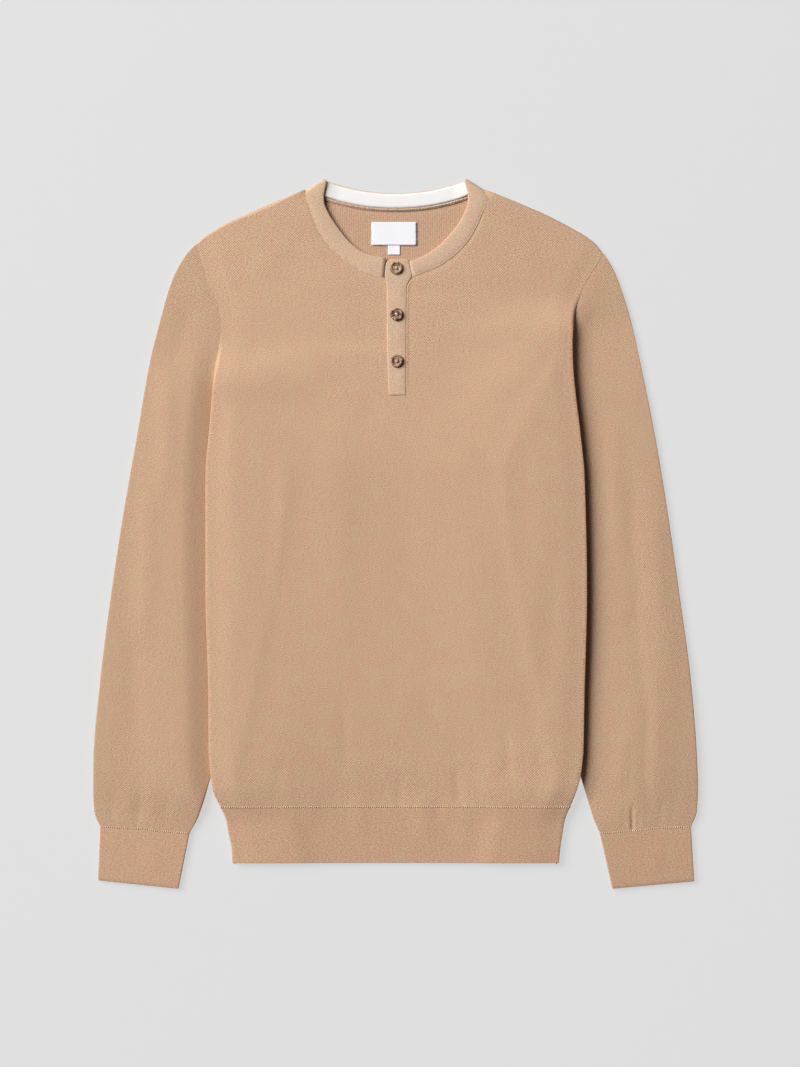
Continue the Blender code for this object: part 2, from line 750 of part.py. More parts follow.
def cut(item, cutter_mesh, name):
    """Take a hidden cutter away from an object."""
    cutter = add_object(name, cutter_mesh, item.data.materials[0])
    cutter.hide_render = True
    cutter.display_type = "WIRE"
    boolean = item.modifiers.new(name, "BOOLEAN")
    boolean.operation = "DIFFERENCE"
    boolean.solver = "EXACT"
    boolean.object = cutter
    return cutter


def slot_cutter():
    """The block that opens the front panel behind the placket."""
    cutter = bmesh.new()
    bmesh.ops.create_cube(cutter, size=1)
    for vertex in cutter.verts:
        vertex.co = (blend(SLOT.left, SLOT.right, vertex.co.x + 0.5) * MM,
                     blend(SLOT.bottom, SLOT.top, vertex.co.y + 0.5) * MM,
                     vertex.co.z * SLOT_CUTTER_HEIGHT * MM)
    return cutter


def button(name, centre, bottom, material):
    """A turned button with a sunken middle and four thread holes."""
    disc = bmesh.new()
    points = [disc.verts.new((radius * BUTTON_RADIUS * MM, 0, height * BUTTON_HEIGHT * MM))
              for radius, height in BUTTON_PROFILE]
    edges = [disc.edges.new(pair) for pair in zip(points, points[1:])]
    bmesh.ops.spin(disc, geom=points + edges, axis=(0, 0, 1), cent=(0, 0, 0), angle=math.tau,
                   steps=BUTTON_STEPS)
    bmesh.ops.remove_doubles(disc, verts=disc.verts, dist=1e-6)
    bmesh.ops.recalc_face_normals(disc, faces=disc.faces)
    item = add_object(name, disc, material)
    item.location = (centre[0] * MM, centre[1] * MM, bottom * MM)
    holes = bmesh.new()
    for right, up in ((-1, -1), (-1, 1), (1, -1), (1, 1)):
        made = bmesh.ops.create_cone(holes, cap_ends=True, segments=HOLE_STEPS,
                                     radius1=BUTTON_HOLE_RADIUS * MM, radius2=BUTTON_HOLE_RADIUS * MM,
                                     depth=4 * BUTTON_HEIGHT * MM)
        bmesh.ops.translate(holes, verts=made["verts"],
                            vec=(right * BUTTON_HOLE_OFFSET * MM, up * BUTTON_HOLE_OFFSET * MM, 0))
    cut(item, holes, name + "_holes").location = item.location


def main():
    for item in list(bpy.data.objects):
        bpy.data.objects.remove(item)

    knit = principled("knit_camel", (0.60, 0.40, 0.27), 0.9)
    rib = principled("band_knit_camel", (0.56, 0.37, 0.25), 0.9)
    white = principled("white_tape", (0.80, 0.79, 0.80), 0.8)
    horn = principled("horn_button", (0.16, 0.08, 0.04), 0.3)

    front = cloth("front", body_panel(FRONT, front_neckline(), SHOULDER_TURN), WALL, knit)
    cut(front, slot_cutter(), "placket_slot")
    cloth("back", body_panel(BACK, back_neckline(), LEAST_TURN), WALL, knit)
    cloth("hem_band_front", hem_panel(FRONT, front_neckline()), WALL, rib)
    cloth("hem_band_back", hem_panel(BACK, back_neckline()), WALL, rib)

    for side, wearer in ((LEFT, "right"), (RIGHT, "left")):
        place, across = sleeve_places(side)
        mirrored = side is RIGHT
        beneath = across[:UNDERSIDE_STEPS] + across[UNDERSIDE_STEPS::UNDERSIDE_SKIP]
        cloth("sleeve_" + wearer, tube_rows(place, across, beneath, SLEEVE_LEVELS), WALL, knit,
              closed=True, flip=mirrored)
        even = [step / CUFF_STEPS for step in range(1, CUFF_STEPS)]
        cuff = tube_rows(cuff_places(side), even, even, CUFF_LEVELS, -2 * SEAM_HALF_GAP)
        cloth("cuff_" + wearer, cuff, WALL, rib, closed=True, flip=mirrored)

    cloth("neckband", neckband_rows(), BAND_WALL, rib)
    cloth("neck_tape", tape_rows(), TAPE_WALL, white)

    front_face = WALL + LAYER + AIR
    patch("placket_under", PLACKET_UNDER, front_face - WALL, WALL, rib)
    patch("placket_top", PLACKET_TOP, front_face + GAP, WALL, rib, corner=PLACKET_CORNER)
    patch("label", LABEL, WALL + GAP, LABEL_WALL, white)
    patch("size_tag", SIZE_TAG, WALL + GAP, LABEL_WALL, white)
    for number, centre in enumerate(BUTTON_CENTRES, 1):
        button(f"button_{number}", centre, front_face + WALL + 2 * GAP, horn)


main()
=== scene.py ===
"""Looks of a long-sleeved henley sweater in camel birdseye knit, laid flat with its sides turned under.

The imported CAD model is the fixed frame, and every piece here stands for one of its nodes, or lies on one.
Frame: +X to the viewer's right, +Y towards the neck, +Z up, lying on z = 0.
Sizes are millimetres in all classes, and MM turns them into metres when a mesh is made.
"""

import logging
import math
from collections.abc import Callable, Sequence
from dataclasses import dataclass, field
from enum import Enum

import bmesh
import bpy
import numpy as np
from bmesh.types import BMesh
from bpy.types import Material, Node, NodeTree, Object
from mathutils import Matrix, Vector


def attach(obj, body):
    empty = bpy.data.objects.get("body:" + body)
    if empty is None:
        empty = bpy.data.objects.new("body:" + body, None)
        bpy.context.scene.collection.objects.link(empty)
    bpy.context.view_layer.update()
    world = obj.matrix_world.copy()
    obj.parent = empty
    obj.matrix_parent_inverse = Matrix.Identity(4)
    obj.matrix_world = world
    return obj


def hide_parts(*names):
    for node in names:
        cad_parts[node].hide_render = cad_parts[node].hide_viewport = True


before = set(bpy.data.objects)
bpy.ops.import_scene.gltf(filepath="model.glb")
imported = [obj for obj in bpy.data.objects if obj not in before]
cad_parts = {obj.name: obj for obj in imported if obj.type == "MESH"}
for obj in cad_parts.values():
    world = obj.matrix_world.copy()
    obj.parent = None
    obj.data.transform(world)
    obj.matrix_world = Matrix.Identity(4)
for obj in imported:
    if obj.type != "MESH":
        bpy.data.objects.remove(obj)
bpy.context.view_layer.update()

MM = 0.001
BODY_NAME = "root"
LOG = logging.getLogger("sweater")

# Walls of the knit and the steps between its layers, as in the CAD model.
WALL = 1.6
GAP = 0.3
LAYER = WALL + GAP
BAND_WALL = 2.6

Point = tuple[float, float]
Array = np.ndarray
Floats = tuple[float, ...]
# A smooth ramp: where it starts, and the length over which it rises.
Span = tuple[float, float]
# Where the folded neckband stands: seam point, inner point, unit direction out of its face, and fold radius.
Station = tuple[np.ndarray, np.ndarray, np.ndarray, float]

TOWARDS_HEM = np.array((0.0, -1.0, 0.0))
# Where each button sits on the placket, and how far it is turned.
BUTTONS = (((0.7, 270.6), 0.1), ((1.0, 223.1), 0.4), ((1.2, 175.7), -0.3))


# ---- curves

def blend(start, end, share):
    """Value at a share of the way between two values.

    Args:
        start: value at share 0.
        end: value at share 1.
        share: place between them, a number or an array.

    Returns:
        The value there.
    """
    return start + (end - start) * share


def smoothstep(value):
    """Smooth ramp from 0 at value 0 to 1 at value 1."""
    value = np.clip(value, 0.0, 1.0)
    return value * value * (3 - 2 * value)


def ramp(value, start: float, length: float):
    """Smooth ramp from 0 at a start to 1 a length further on."""
    return smoothstep((value - start) / length)


def run_along(points: Array) -> Array:
    """Length run along a line of points, at each of them."""
    return np.concatenate(([0.0], np.cumsum(np.linalg.norm(np.diff(points, axis=0), axis=1))))


@dataclass(frozen=True)
class SmoothLine:
    """A smooth curve through rising knots that never overshoots between them."""

    knots: tuple[float, ...]
    values: tuple[float, ...]

    def __call__(self, at):
        """Value of the curve.

        Args:
            at: where, a number or an array; outside the knots the end values hold.

        Returns:
            The values there.
        """
        knots = np.asarray(self.knots, float)
        values = np.asarray(self.values, float)
        spans = np.diff(knots)
        slopes = np.diff(values) / spans
        product = slopes[:-1] * slopes[1:]
        total = np.where(product > 0, slopes[:-1] + slopes[1:], 1.0)
        inner = np.where(product > 0, 2 * product / total, 0.0)
        tangents = np.concatenate((slopes[:1], inner, slopes[-1:]))
        at = np.clip(at, knots[0], knots[-1])
        step = np.clip(np.searchsorted(knots, at, side="right") - 1, 0, len(spans) - 1)
        t = (at - knots[step]) / spans[step]
        rise = np.diff(values)[step]
        start = tangents[step] * spans[step]
        end = tangents[step + 1] * spans[step]
        bend = t * t * (3 * rise - 2 * start - end) + t ** 3 * (start + end - 2 * rise)
        return values[step] + t * start + bend


@dataclass(frozen=True)
class PlanCurve:
    """A smooth curve in plan through (x, y) points, read by share of its length."""

    points: tuple[Point, ...]

    def at(self, share):
        """Points of the curve.

        Args:
            share: shares of the length, a number or an array.

        Returns:
            Their x and y, as the last axis.
        """
        corners = np.array(self.points, float)
        legs = np.hypot(*np.diff(corners, axis=0).T)
        knots = tuple(np.concatenate(([0.0], np.cumsum(legs))))
        where = np.asarray(share) * knots[-1]
        columns = [SmoothLine(knots, tuple(corners[:, axis]))(where) for axis in (0, 1)]
        return np.stack(columns, axis=-1)


def graded(length: float, coarse: float, fine: Sequence[float] = (0.7, 1.6, 2.8)) -> Array:
    """Shares from 0 to 1 that are closer together at both ends.

    Args:
        length: the whole length.
        coarse: usual step.
        fine: distances from either end that are also sampled.

    Returns:
        The rising shares.
    """
    near = np.array((0.0, *fine))
    count = max(2, round((length - 2 * near[-1]) / coarse))
    middle = np.linspace(near[-1], length - near[-1], count + 1)[1:-1]
    return np.concatenate((near, middle, length - near[::-1])) / length


class Side(Enum):
    """A side of the sweater as the viewer sees it: sign of x, where its edge starts and ends turning under,
    and the wearer's side."""

    LEFT = (-1, 205.0, 136.0, "right")
    RIGHT = (1, 250.0, 192.0, "left")

    def __init__(self, sign: int, fold_from: float, fold_to: float, wearer: str) -> None:
        """Keep the side's numbers under their names."""
        self.sign = sign
        self.fold_from = fold_from
        self.fold_to = fold_to
        self.wearer = wearer


class Layer(Enum):
    """A body layer: its name and how far it lies inside the front's fold."""

    FRONT = ("front", 0.0)
    BACK = ("back", LAYER)

    def __init__(self, label: str, inset: float) -> None:
        """Keep the layer's name and inset."""
        self.label = label
        self.inset = inset


class Stretch(Enum):
    """The part of the body that a column of its knit runs through."""

    STRIP = "strip"
    FOLD = "fold"
    COVER = "cover"
    SHOULDER = "shoulder"
    NECK = "neck"


def soft_maximum(first, second, ease: float):
    """The larger of two values, eased where they cross.

    Args:
        first: one value, a number or an array.
        second: the other.
        ease: width of the crossing that is rounded off.

    Returns:
        The eased maximum.
    """
    return (first + second + np.hypot(first - second, ease)) / 2


def by_side(rows: Sequence[tuple[float, float, float]]) -> dict[Side, SmoothLine]:
    """Split a table of (y, left x, right x) into a smooth line for each side.

    Args:
        rows: the table, in any order.

    Returns:
        Side to its line of x over y.
    """
    rising = sorted(rows)
    heights = tuple(row[0] for row in rising)
    return {side: SmoothLine(heights, tuple(row[column] for row in rising))
            for column, side in enumerate((Side.LEFT, Side.RIGHT), 1)}


@dataclass(frozen=True)
class Crease:
    """A soft fold in the cloth: a ridge, or a trough where its height is negative.

    It wanders from side to side by a share of its width, in waves counted in widths, and fades at both ends.
    """

    start: Point
    end: Point
    width: float
    height: float
    wander: float = 0.35
    wave: float = 4.0
    least_wave: float = 8.0
    fade: float = 0.35
    overrun: float = 0.3

    def __call__(self, x, y):
        """Height that the crease adds.

        Args:
            x: plan x, a number or an array.
            y: plan y, likewise.

        Returns:
            The added height.
        """
        along = np.array(self.end) - np.array(self.start)
        length = float(np.hypot(*along))
        across = ((x - self.start[0]) * along[1] - (y - self.start[1]) * along[0]) / length
        run = ((x - self.start[0]) * along[0] + (y - self.start[1]) * along[1]) / length
        wave = max(self.wave * self.width, self.least_wave)
        wander = self.wander * self.width * np.sin(run / wave + self.start[0])
        ease = self.fade * length
        over = self.overrun * ease
        fade = smoothstep((run + over) / ease) * smoothstep((length - run + over) / ease)
        return self.height * np.exp(-((across + wander) / self.width) ** 2) * fade


def crease_rows(*rows: Floats) -> tuple[Crease, ...]:
    """Creases from rows of start x and y, end x and y, width and height."""
    return tuple(Crease(row[:2], row[2:4], *row[4:]) for row in rows)


def relief(creases: Sequence[Crease], x, y):
    """Total height of several creases.

    Args:
        creases: the creases.
        x: plan x, a number or an array.
        y: plan y, likewise.

    Returns:
        The sum of what they add.
    """
    return sum((crease(x, y) for crease in creases), np.zeros(np.broadcast(x, y).shape))


# ---- pattern

@dataclass(frozen=True)
class Pattern:
    """The sweater's outlines in plan, and the heights where its pieces are linked."""

    hem_seam: float = -279.0
    hem_end: float = -336.2
    underarm: float = 66.7
    seam_half_gap: float = 0.12
    link_half_gap: float = 0.02
    edge: dict = field(default_factory=lambda: by_side((
        (296.2, -202.5, 212.5), (286, -200, 211.7), (270, -195.1, 202.8), (250, -189, 191.2),
        (230, -180, 185.2), (214, -177.9, 182.2), (193, -180, 180.6), (171, -184, 181.2),
        (147, -186.2, 183.2), (104, -190, 188.4), (54, -193.7, 193), (-60, -193.6, 195.3),
        (-164, -190.8, 192.8), (-219, -190.4, 191.7), (-243, -188.7, 189.4), (-262, -186, 184.4),
        (-278, -179, 178.3), (-292, -173, 173), (-305, -170.7, 170.7), (-323, -167.2, 168),
        (-336.2, -166.6, 166.8))))
    hidden: dict = field(default_factory=lambda: by_side((
        (192, -180, 181), (165, -184.5, 168), (136, -187.5, 152.5), (124, -177, 146),
        (103, -155.6, 134.5), (83, -136.2, 124.5), (66.7, -122, 119), (0, -125, 125),
        (-150, -126, 127), (-262, -120, 120), (-336.2, -108, 108))))
    sleeve_outer: dict = field(default_factory=lambda: by_side((
        (296.2, -202.9, 203), (286, -212.8, 212.1), (272, -221.6, 221), (255, -229.4, 228.4),
        (217.6, -240.2, 240.2), (176.8, -250.4, 249.4), (95.2, -264.7, 265.7), (13.6, -279, 279),
        (-68, -291.2, 290.6), (-149.6, -301.4, 301.4), (-231.2, -308.3, 307.7), (-262, -308.6, 308.6),
        (-284, -307.5, 307.5), (-299.5, -301.4, 301.6))))
    sleeve_inner: dict = field(default_factory=lambda: by_side((
        (66.7, -122, 119), (-100, -156, 156), (-230, -182.5, 183), (-252, -189.6, 190.2),
        (-272, -195.3, 196.3), (-292, -202.5, 202.5), (-306, -210.4, 208.6))))
    shoulder: dict = field(default_factory=lambda: {
        Side.LEFT: ((-202.5, 296.2), (-194.3, 303.3), (-174.9, 315.5), (-148.4, 327.8), (-92.4, 350.9)),
        Side.RIGHT: ((211.7, 286), (202.5, 297.2), (172.9, 315.5), (148.4, 327.8), (91.6, 350.9))})
    neckline: dict = field(default_factory=lambda: {
        Side.LEFT: PlanCurve(((-92.4, 350.9), (-90.3, 342.1), (-82.6, 320.1), (-72.9, 301.3), (-60.7, 287),
                              (-44.4, 274.7), (-28.1, 265.6), (-12.1, 260.5))),
        Side.RIGHT: PlanCurve(((91.6, 350.9), (91.7, 339), (86.7, 322.7), (75.6, 301.3), (61.7, 285.4),
                               (44.4, 273.1), (30.1, 267), (17.5, 262)))})
    band_inner: dict = field(default_factory=lambda: {
        Side.LEFT: PlanCurve(((-72.9, 354), (-72.7, 339), (-67.8, 326.2), (-56.6, 309.4), (-44.4, 295.1),
                              (-28.1, 284.9), (-10.7, 280.9))),
        Side.RIGHT: PlanCurve(((74, 354), (73.7, 339), (68.2, 322.7), (55.6, 305.3), (42.3, 292.1),
                               (26, 281.9), (14.2, 277.5)))})
    back_neckline: PlanCurve = PlanCurve((
        (-92.4, 350.9), (-77, 342.6), (-51.5, 334.9), (-26, 330.5), (0, 329.2), (25, 330.5),
        (51.5, 334.9), (76, 342.6), (91.6, 350.9)))
    back_rim: PlanCurve = PlanCurve((
        (-69, 359.3), (-51.5, 354.3), (-26, 349.2), (0, 347.5), (25, 349.2), (51.5, 354.3),
        (69, 359.3)))
    neck_tip: dict = field(default_factory=lambda: {
        Side.LEFT: ((-91, 350.6), (-72.1, 362.6)), Side.RIGHT: ((90.4, 350.6), (71.9, 362.6))})
    cuff_seam: dict = field(default_factory=lambda: {
        Side.LEFT: PlanCurve(((-301.4, -299.5), (-260.6, -301.4), (-242.2, -303.6), (-210.4, -306))),
        Side.RIGHT: PlanCurve(((301.6, -299.5), (269.8, -300.6), (244.3, -303.4), (208.6, -306)))})
    cuff_end: dict = field(default_factory=lambda: {
        Side.LEFT: PlanCurve(((-303.7, -354), (-221.7, -362.6))),
        Side.RIGHT: PlanCurve(((304.9, -355), (221.4, -362.6)))})
    slot: tuple[float, float, float] = (-6.0, 8.5, 144.0)

    def shoulder_height(self, side: Side, x):
        """Height y of the shoulder line over x."""
        points = sorted(self.shoulder[side])
        return SmoothLine(tuple(p[0] for p in points), tuple(p[1] for p in points))(x)


# ---- body form

@dataclass(frozen=True)
class BodyForm:
    """How the body lies: its sides turned under over the sleeves, and the soft folds of its knit."""

    pattern: Pattern = Pattern()
    # The side folds: how high they lie, their radius, and how square they are pressed.
    sleeve_height: float = 5.0
    fold_radius: float = (4 * WALL + 3 * GAP) / 2
    flat_edge: float = 3.0
    fold_press: float = 0.72
    corner_pull: float = 0.16
    least_strip: float = 0.6
    least_turn: float = 0.03
    least_cover: float = 30.0
    # Air between front and back at the armholes, beside the neck and within, and how far each reaches.
    armhole_puff: float = 1.5
    puff_length: float = 90.0
    closing: float = 0.35
    neck_puff: float = 2.4
    neck_side: Span = (20.0, 50.0)
    neck_far: Span = (110.0, 80.0)
    neck_up: Span = (255.0, 80.0)
    air: float = 0.9
    air_length: float = 22.0
    least_air: float = 0.15
    closing_air: float = 0.3
    # How both panels come down from what is turned under: margins, lengths, and the front's slack bridge.
    sleeve_margin: float = 19.0
    strip_margin: float = 6.0
    step_length: float = 34.0
    bridge_length: float = 105.0
    bridge_rise: float = 1.2
    bridge_ease: float = 1.4
    ease_length: float = 50.0
    strip_hold: float = 0.35
    # Where creases begin to show: inside the folds, and below a line that slopes along neck and shoulder.
    slack_in: Span = (3.0, 16.0)
    slack_slope: SmoothLine = SmoothLine((0.0, 92.0, 203.0), (262.0, 344.0, 286.0))
    slope_length: float = 24.0
    slope_start: float = 0.15
    middle: SmoothLine = SmoothLine((-330.0, -279.0, -230.0, -150.0, 60.0, 140.0, 250.0, 290.0, 350.0),
                                    (4.4, 5.0, 8.0, 10.4, 10.6, 8.6, 6.6, 5.4, 4.8))
    settles: Floats = (-255.0, -300.0)
    front_creases: tuple[Crease, ...] = crease_rows(
        # Fullness caught by the hem band: short sharp troughs above the link, and swells of the band between.
        (112.5, -196, 113.5, -252, 4.8, -0.6), (62, -238, 63.5, -277, 4.2, -0.65),
        (2, -252, 5, -279, 4.6, -0.45), (48, -268, 41, -296, 4.6, -0.35),
        (-56, -170, -50, -246, 6, -0.4), (-118, -226, -120, -274, 5, -0.3),
        (146, -214, 143, -270, 5.4, -0.3), (25, -266, 25, -322, 10, 0.5),
        (-34, -262, -35, -310, 9, 0.35), (70, -270, 67, -322, 9, 0.35),
        (-86, -256, -88, -300, 10, 0.3), (96, -222, 94, -272, 9, 0.3),
        # Long slack swells down the body.
        (-46, 128, -62, -150, 22, 0.8), (-132, 96, -128, -118, 13, -0.5),
        (-160, 150, -166, -160, 12, 0.5), (12, 60, -4, -190, 15, -0.4),
        (64, 20, 88, -190, 24, 0.7), (128, 110, 134, -60, 16, -0.5),
        (158, -20, 148, -196, 13, -0.6), (36, -60, 28, -214, 9, -0.3),
        # Slanting pulls from the armholes and the end of the placket.
        (-166, 196, -92, 158, 9, -0.45), (-158, 236, -96, 214, 11, 0.4),
        (160, 224, 92, 176, 11, -0.45), (150, 180, 70, 132, 13, 0.45),
        (-14, 142, -34, 108, 7, -0.35), (20, 138, 44, 96, 8, 0.3),
        (-118, 300, -146, 262, 12, 0.5), (116, 304, 152, 268, 12, 0.45))
    back_creases: tuple[Crease, ...] = crease_rows(
        (-70, 140, -40, -170, 20, 0.5), (60, 60, 96, -150, 18, 0.5),
        (-8, -120, 6, -262, 12, 0.4), (-60, 250, -104, 190, 14, 0.5),
        (74, 262, 110, 206, 13, 0.4), (30, -210, 34, -322, 9, 0.35),
        (-66, -240, -62, -320, 8, 0.35), (24, 322, 40, 288, 9, 0.3),
        (-34, 316, -26, 282, 7, 0.25))

    def fold_share(self, side: Side, y):
        """0 where the side edge is a flat armhole seam, 1 where it is folded right under."""
        return smoothstep((side.fold_from - y) / (side.fold_from - side.fold_to))

    def rest_height(self, side: Side, y):
        """Height of the fold's underside: on the sleeve, then down to the ground at the hem."""
        top, bottom = self.settles
        on_sleeve = self.sleeve_height + GAP * self.fold_share(side, y)
        return on_sleeve * (1 - smoothstep((top - y) / (top - bottom)))

    def fold_shape(self, side: Side, y):
        """Turn angle, radius and centre x of the side fold's outer face.

        Args:
            side: which side.
            y: heights up the sweater.

        Returns:
            The three arrays.
        """
        share = self.fold_share(side, y)
        turn = np.maximum(self.least_turn, math.pi * share)
        radius = blend(self.flat_edge, math.pi * self.fold_radius, share) / turn
        flat = self.least_strip * np.maximum(0.0, np.cos(turn))
        reach = radius * np.sin(np.minimum(turn, math.pi / 2)) + flat
        edge = self.pattern.edge[side](y) - side.sign * self.pattern.seam_half_gap
        return turn, radius, edge - side.sign * reach

    def _inside(self, side: Side, x, y):
        """Distance inwards from the centre of the side fold."""
        return side.sign * (self.fold_shape(side, y)[2] - x)

    def _reach(self, side: Side, y, table: dict, ease: float):
        """x of a far end from a table, held outside the fold's centre and where nothing is turned under."""
        centre = self.fold_shape(side, y)[2]
        far = table[side](y) + side.sign * ease
        held = side.sign * np.minimum(side.sign * far, side.sign * centre)
        return np.where(y >= side.fold_to, centre, held)

    def strip_end(self, side: Side, y):
        """x of the far end of what is turned under."""
        return self._reach(side, y, self.pattern.hidden, self.pattern.seam_half_gap)

    def sleeve_limit(self, side: Side, y):
        """x of the inner limit of the sleeve, as far as it runs under the body."""
        upper = self._reach(side, y, self.pattern.hidden, 0.0)
        lower = self._reach(side, y, self.pattern.sleeve_inner, 0.0)
        return np.where(y > self.pattern.underarm, upper, lower)

    def step_down(self, side: Side, x, limit, margin: float, length: float | None = None):
        """1 over what lies beneath, falling smoothly to 0 further inside."""
        return 1 - smoothstep((side.sign * (limit - x) - margin) / (length or self.step_length))

    def armhole_air(self, side: Side, y):
        """Air between front and back at the armhole seam, gone where the fold begins to close."""
        return self.armhole_puff * (1 - smoothstep(self.fold_share(side, y) / self.closing))

    def _lift(self, side: Side, x, y):
        """Height of the back panel's underside on one side."""
        turn, radius, _ = self.fold_shape(side, y)
        rest = self.rest_height(side, y)
        total = rest + radius * (1 - np.cos(turn)) - WALL - LAYER - self.armhole_air(side, y)
        strips = 2 * LAYER * self.fold_share(side, y)
        on_sleeve = self.step_down(side, x, self.sleeve_limit(side, y), self.sleeve_margin)
        on_strips = self.step_down(side, x, self.strip_end(side, y), self.strip_margin)
        return np.maximum(0.0, (total - strips) * on_sleeve + strips * on_strips)

    def _bridge(self, side: Side, x, y):
        """Height of the front's upper face as it hangs from the side fold over to the fuller middle.

        Args:
            side: which side.
            x: plan x.
            y: plan y.

        Returns:
            The heights, creases left out.
        """
        sleeve = self.step_down(side, x, self.sleeve_limit(side, y), self.sleeve_margin, self.bridge_length)
        strips = self.step_down(side, x, self.strip_end(side, y), self.strip_margin, self.bridge_length)
        held = blend(sleeve, strips, self.strip_hold * self.fold_share(side, y))
        edge = self._lift(side, self.fold_shape(side, y)[2], y) + WALL + LAYER + self.armhole_air(side, y)
        return blend(np.minimum(self.middle(y), edge + self.bridge_rise), edge, held)

    def _ease(self, side: Side, x, y):
        """Width over which the back's rise and the bridge are eased together, nothing at the side fold."""
        return self.bridge_ease * smoothstep(self._inside(side, x, y) / self.ease_length)

    def _puff(self, side: Side, x, y):
        """Air between the front and the back panel on one side."""
        inside = self._inside(side, x, y)
        at_armhole = self.armhole_air(side, y) * (1 - smoothstep(inside / self.puff_length))
        within = self.air * smoothstep(inside / self.air_length)
        beside_neck = ramp(abs(x), *self.neck_side) * (1 - ramp(abs(x), *self.neck_far))
        return at_armhole + within + self.neck_puff * beside_neck * ramp(y, *self.neck_up)

    def _slack(self, side: Side, x, y):
        """Share of the creases that shows, none at the side folds, the shoulders and the neck seam."""
        below = (self.slack_slope(abs(x)) - y) / self.slope_length + self.slope_start
        return ramp(self._inside(side, x, y), *self.slack_in) * smoothstep(below)

    def _either(self, part: Callable, x, y):
        """What a part of the form gives, from the left side on the left half and the right on the right."""
        return np.where(x < 0, part(Side.LEFT, x, y), part(Side.RIGHT, x, y))

    def top(self, layer: Layer, x, y):
        """Height of a panel's upper face.

        Args:
            layer: front or back.
            x: plan x, a number or an array.
            y: plan y, likewise.

        Returns:
            The heights.
        """
        x, y = np.broadcast_arrays(np.asarray(x, float), np.asarray(y, float))
        slack = self._either(self._slack, x, y)
        back = WALL + self._either(self._lift, x, y) + slack * relief(self.back_creases, x, y)
        if layer is Layer.BACK:
            return back
        puff, bridge, ease = (self._either(part, x, y) for part in (self._puff, self._bridge, self._ease))
        free = soft_maximum(back + LAYER + puff, bridge, ease) + slack * relief(self.front_creases, x, y)
        return np.maximum(free, back + WALL + self.least_air)

    def fold_point(self, layer: Layer, side: Side, y, share: float) -> Array:
        """Points round the side fold, from its lower end (share 0) to its top (share 1)."""
        turn, radius, centre = self.fold_shape(side, y)
        radius = radius - layer.inset * (1 + self.closing_air * np.sin(math.pi * self.fold_share(side, y)))
        angle = turn * (1 - share)
        angle = angle + self.corner_pull * np.sin(4 * angle) * smoothstep(2 * turn / math.pi - 1)
        middle = self.top(layer, centre, y) - radius
        press = 1 - self.fold_press * smoothstep(2 * turn / math.pi - 1)
        across = np.clip(np.sin(angle), 0.0, 1.0) ** press
        rise = np.sign(np.cos(angle)) * abs(np.cos(angle)) ** press
        return np.stack((centre + side.sign * radius * across, y, middle + radius * rise), axis=-1)

    def strip_point(self, layer: Layer, side: Side, y, share: float) -> Array:
        """Points on what is turned under, from the fold (share 0) to its far end (share 1)."""
        start = self.fold_point(layer, side, y, 0.0)
        turn, _, centre = self.fold_shape(side, y)
        along = share * np.maximum(abs(self.strip_end(side, y) - centre), self.least_strip)
        x = start[..., 0] + side.sign * np.cos(turn) * along
        hanging = 1 - self.step_down(side, x, self.sleeve_limit(side, y), self.sleeve_margin)
        sag = self.rest_height(side, y) * hanging * self.fold_share(side, y)
        return np.stack((x, y, start[..., 2] - np.sin(turn) * along - sag), axis=-1)

    def cover_x(self, side: Side, y, share: float):
        """x on the main panel above the turned-under part, from the fold (share 0) inwards."""
        centre = self.fold_shape(side, y)[2]
        width = np.maximum(abs(self.strip_end(side, y) - centre), self.least_cover)
        return centre - side.sign * width * share


@dataclass(frozen=True)
class Column:
    """One column of a body panel: what it runs through, and where it starts at the top edge."""

    stretch: Stretch
    side: Side
    share: float
    top: Point


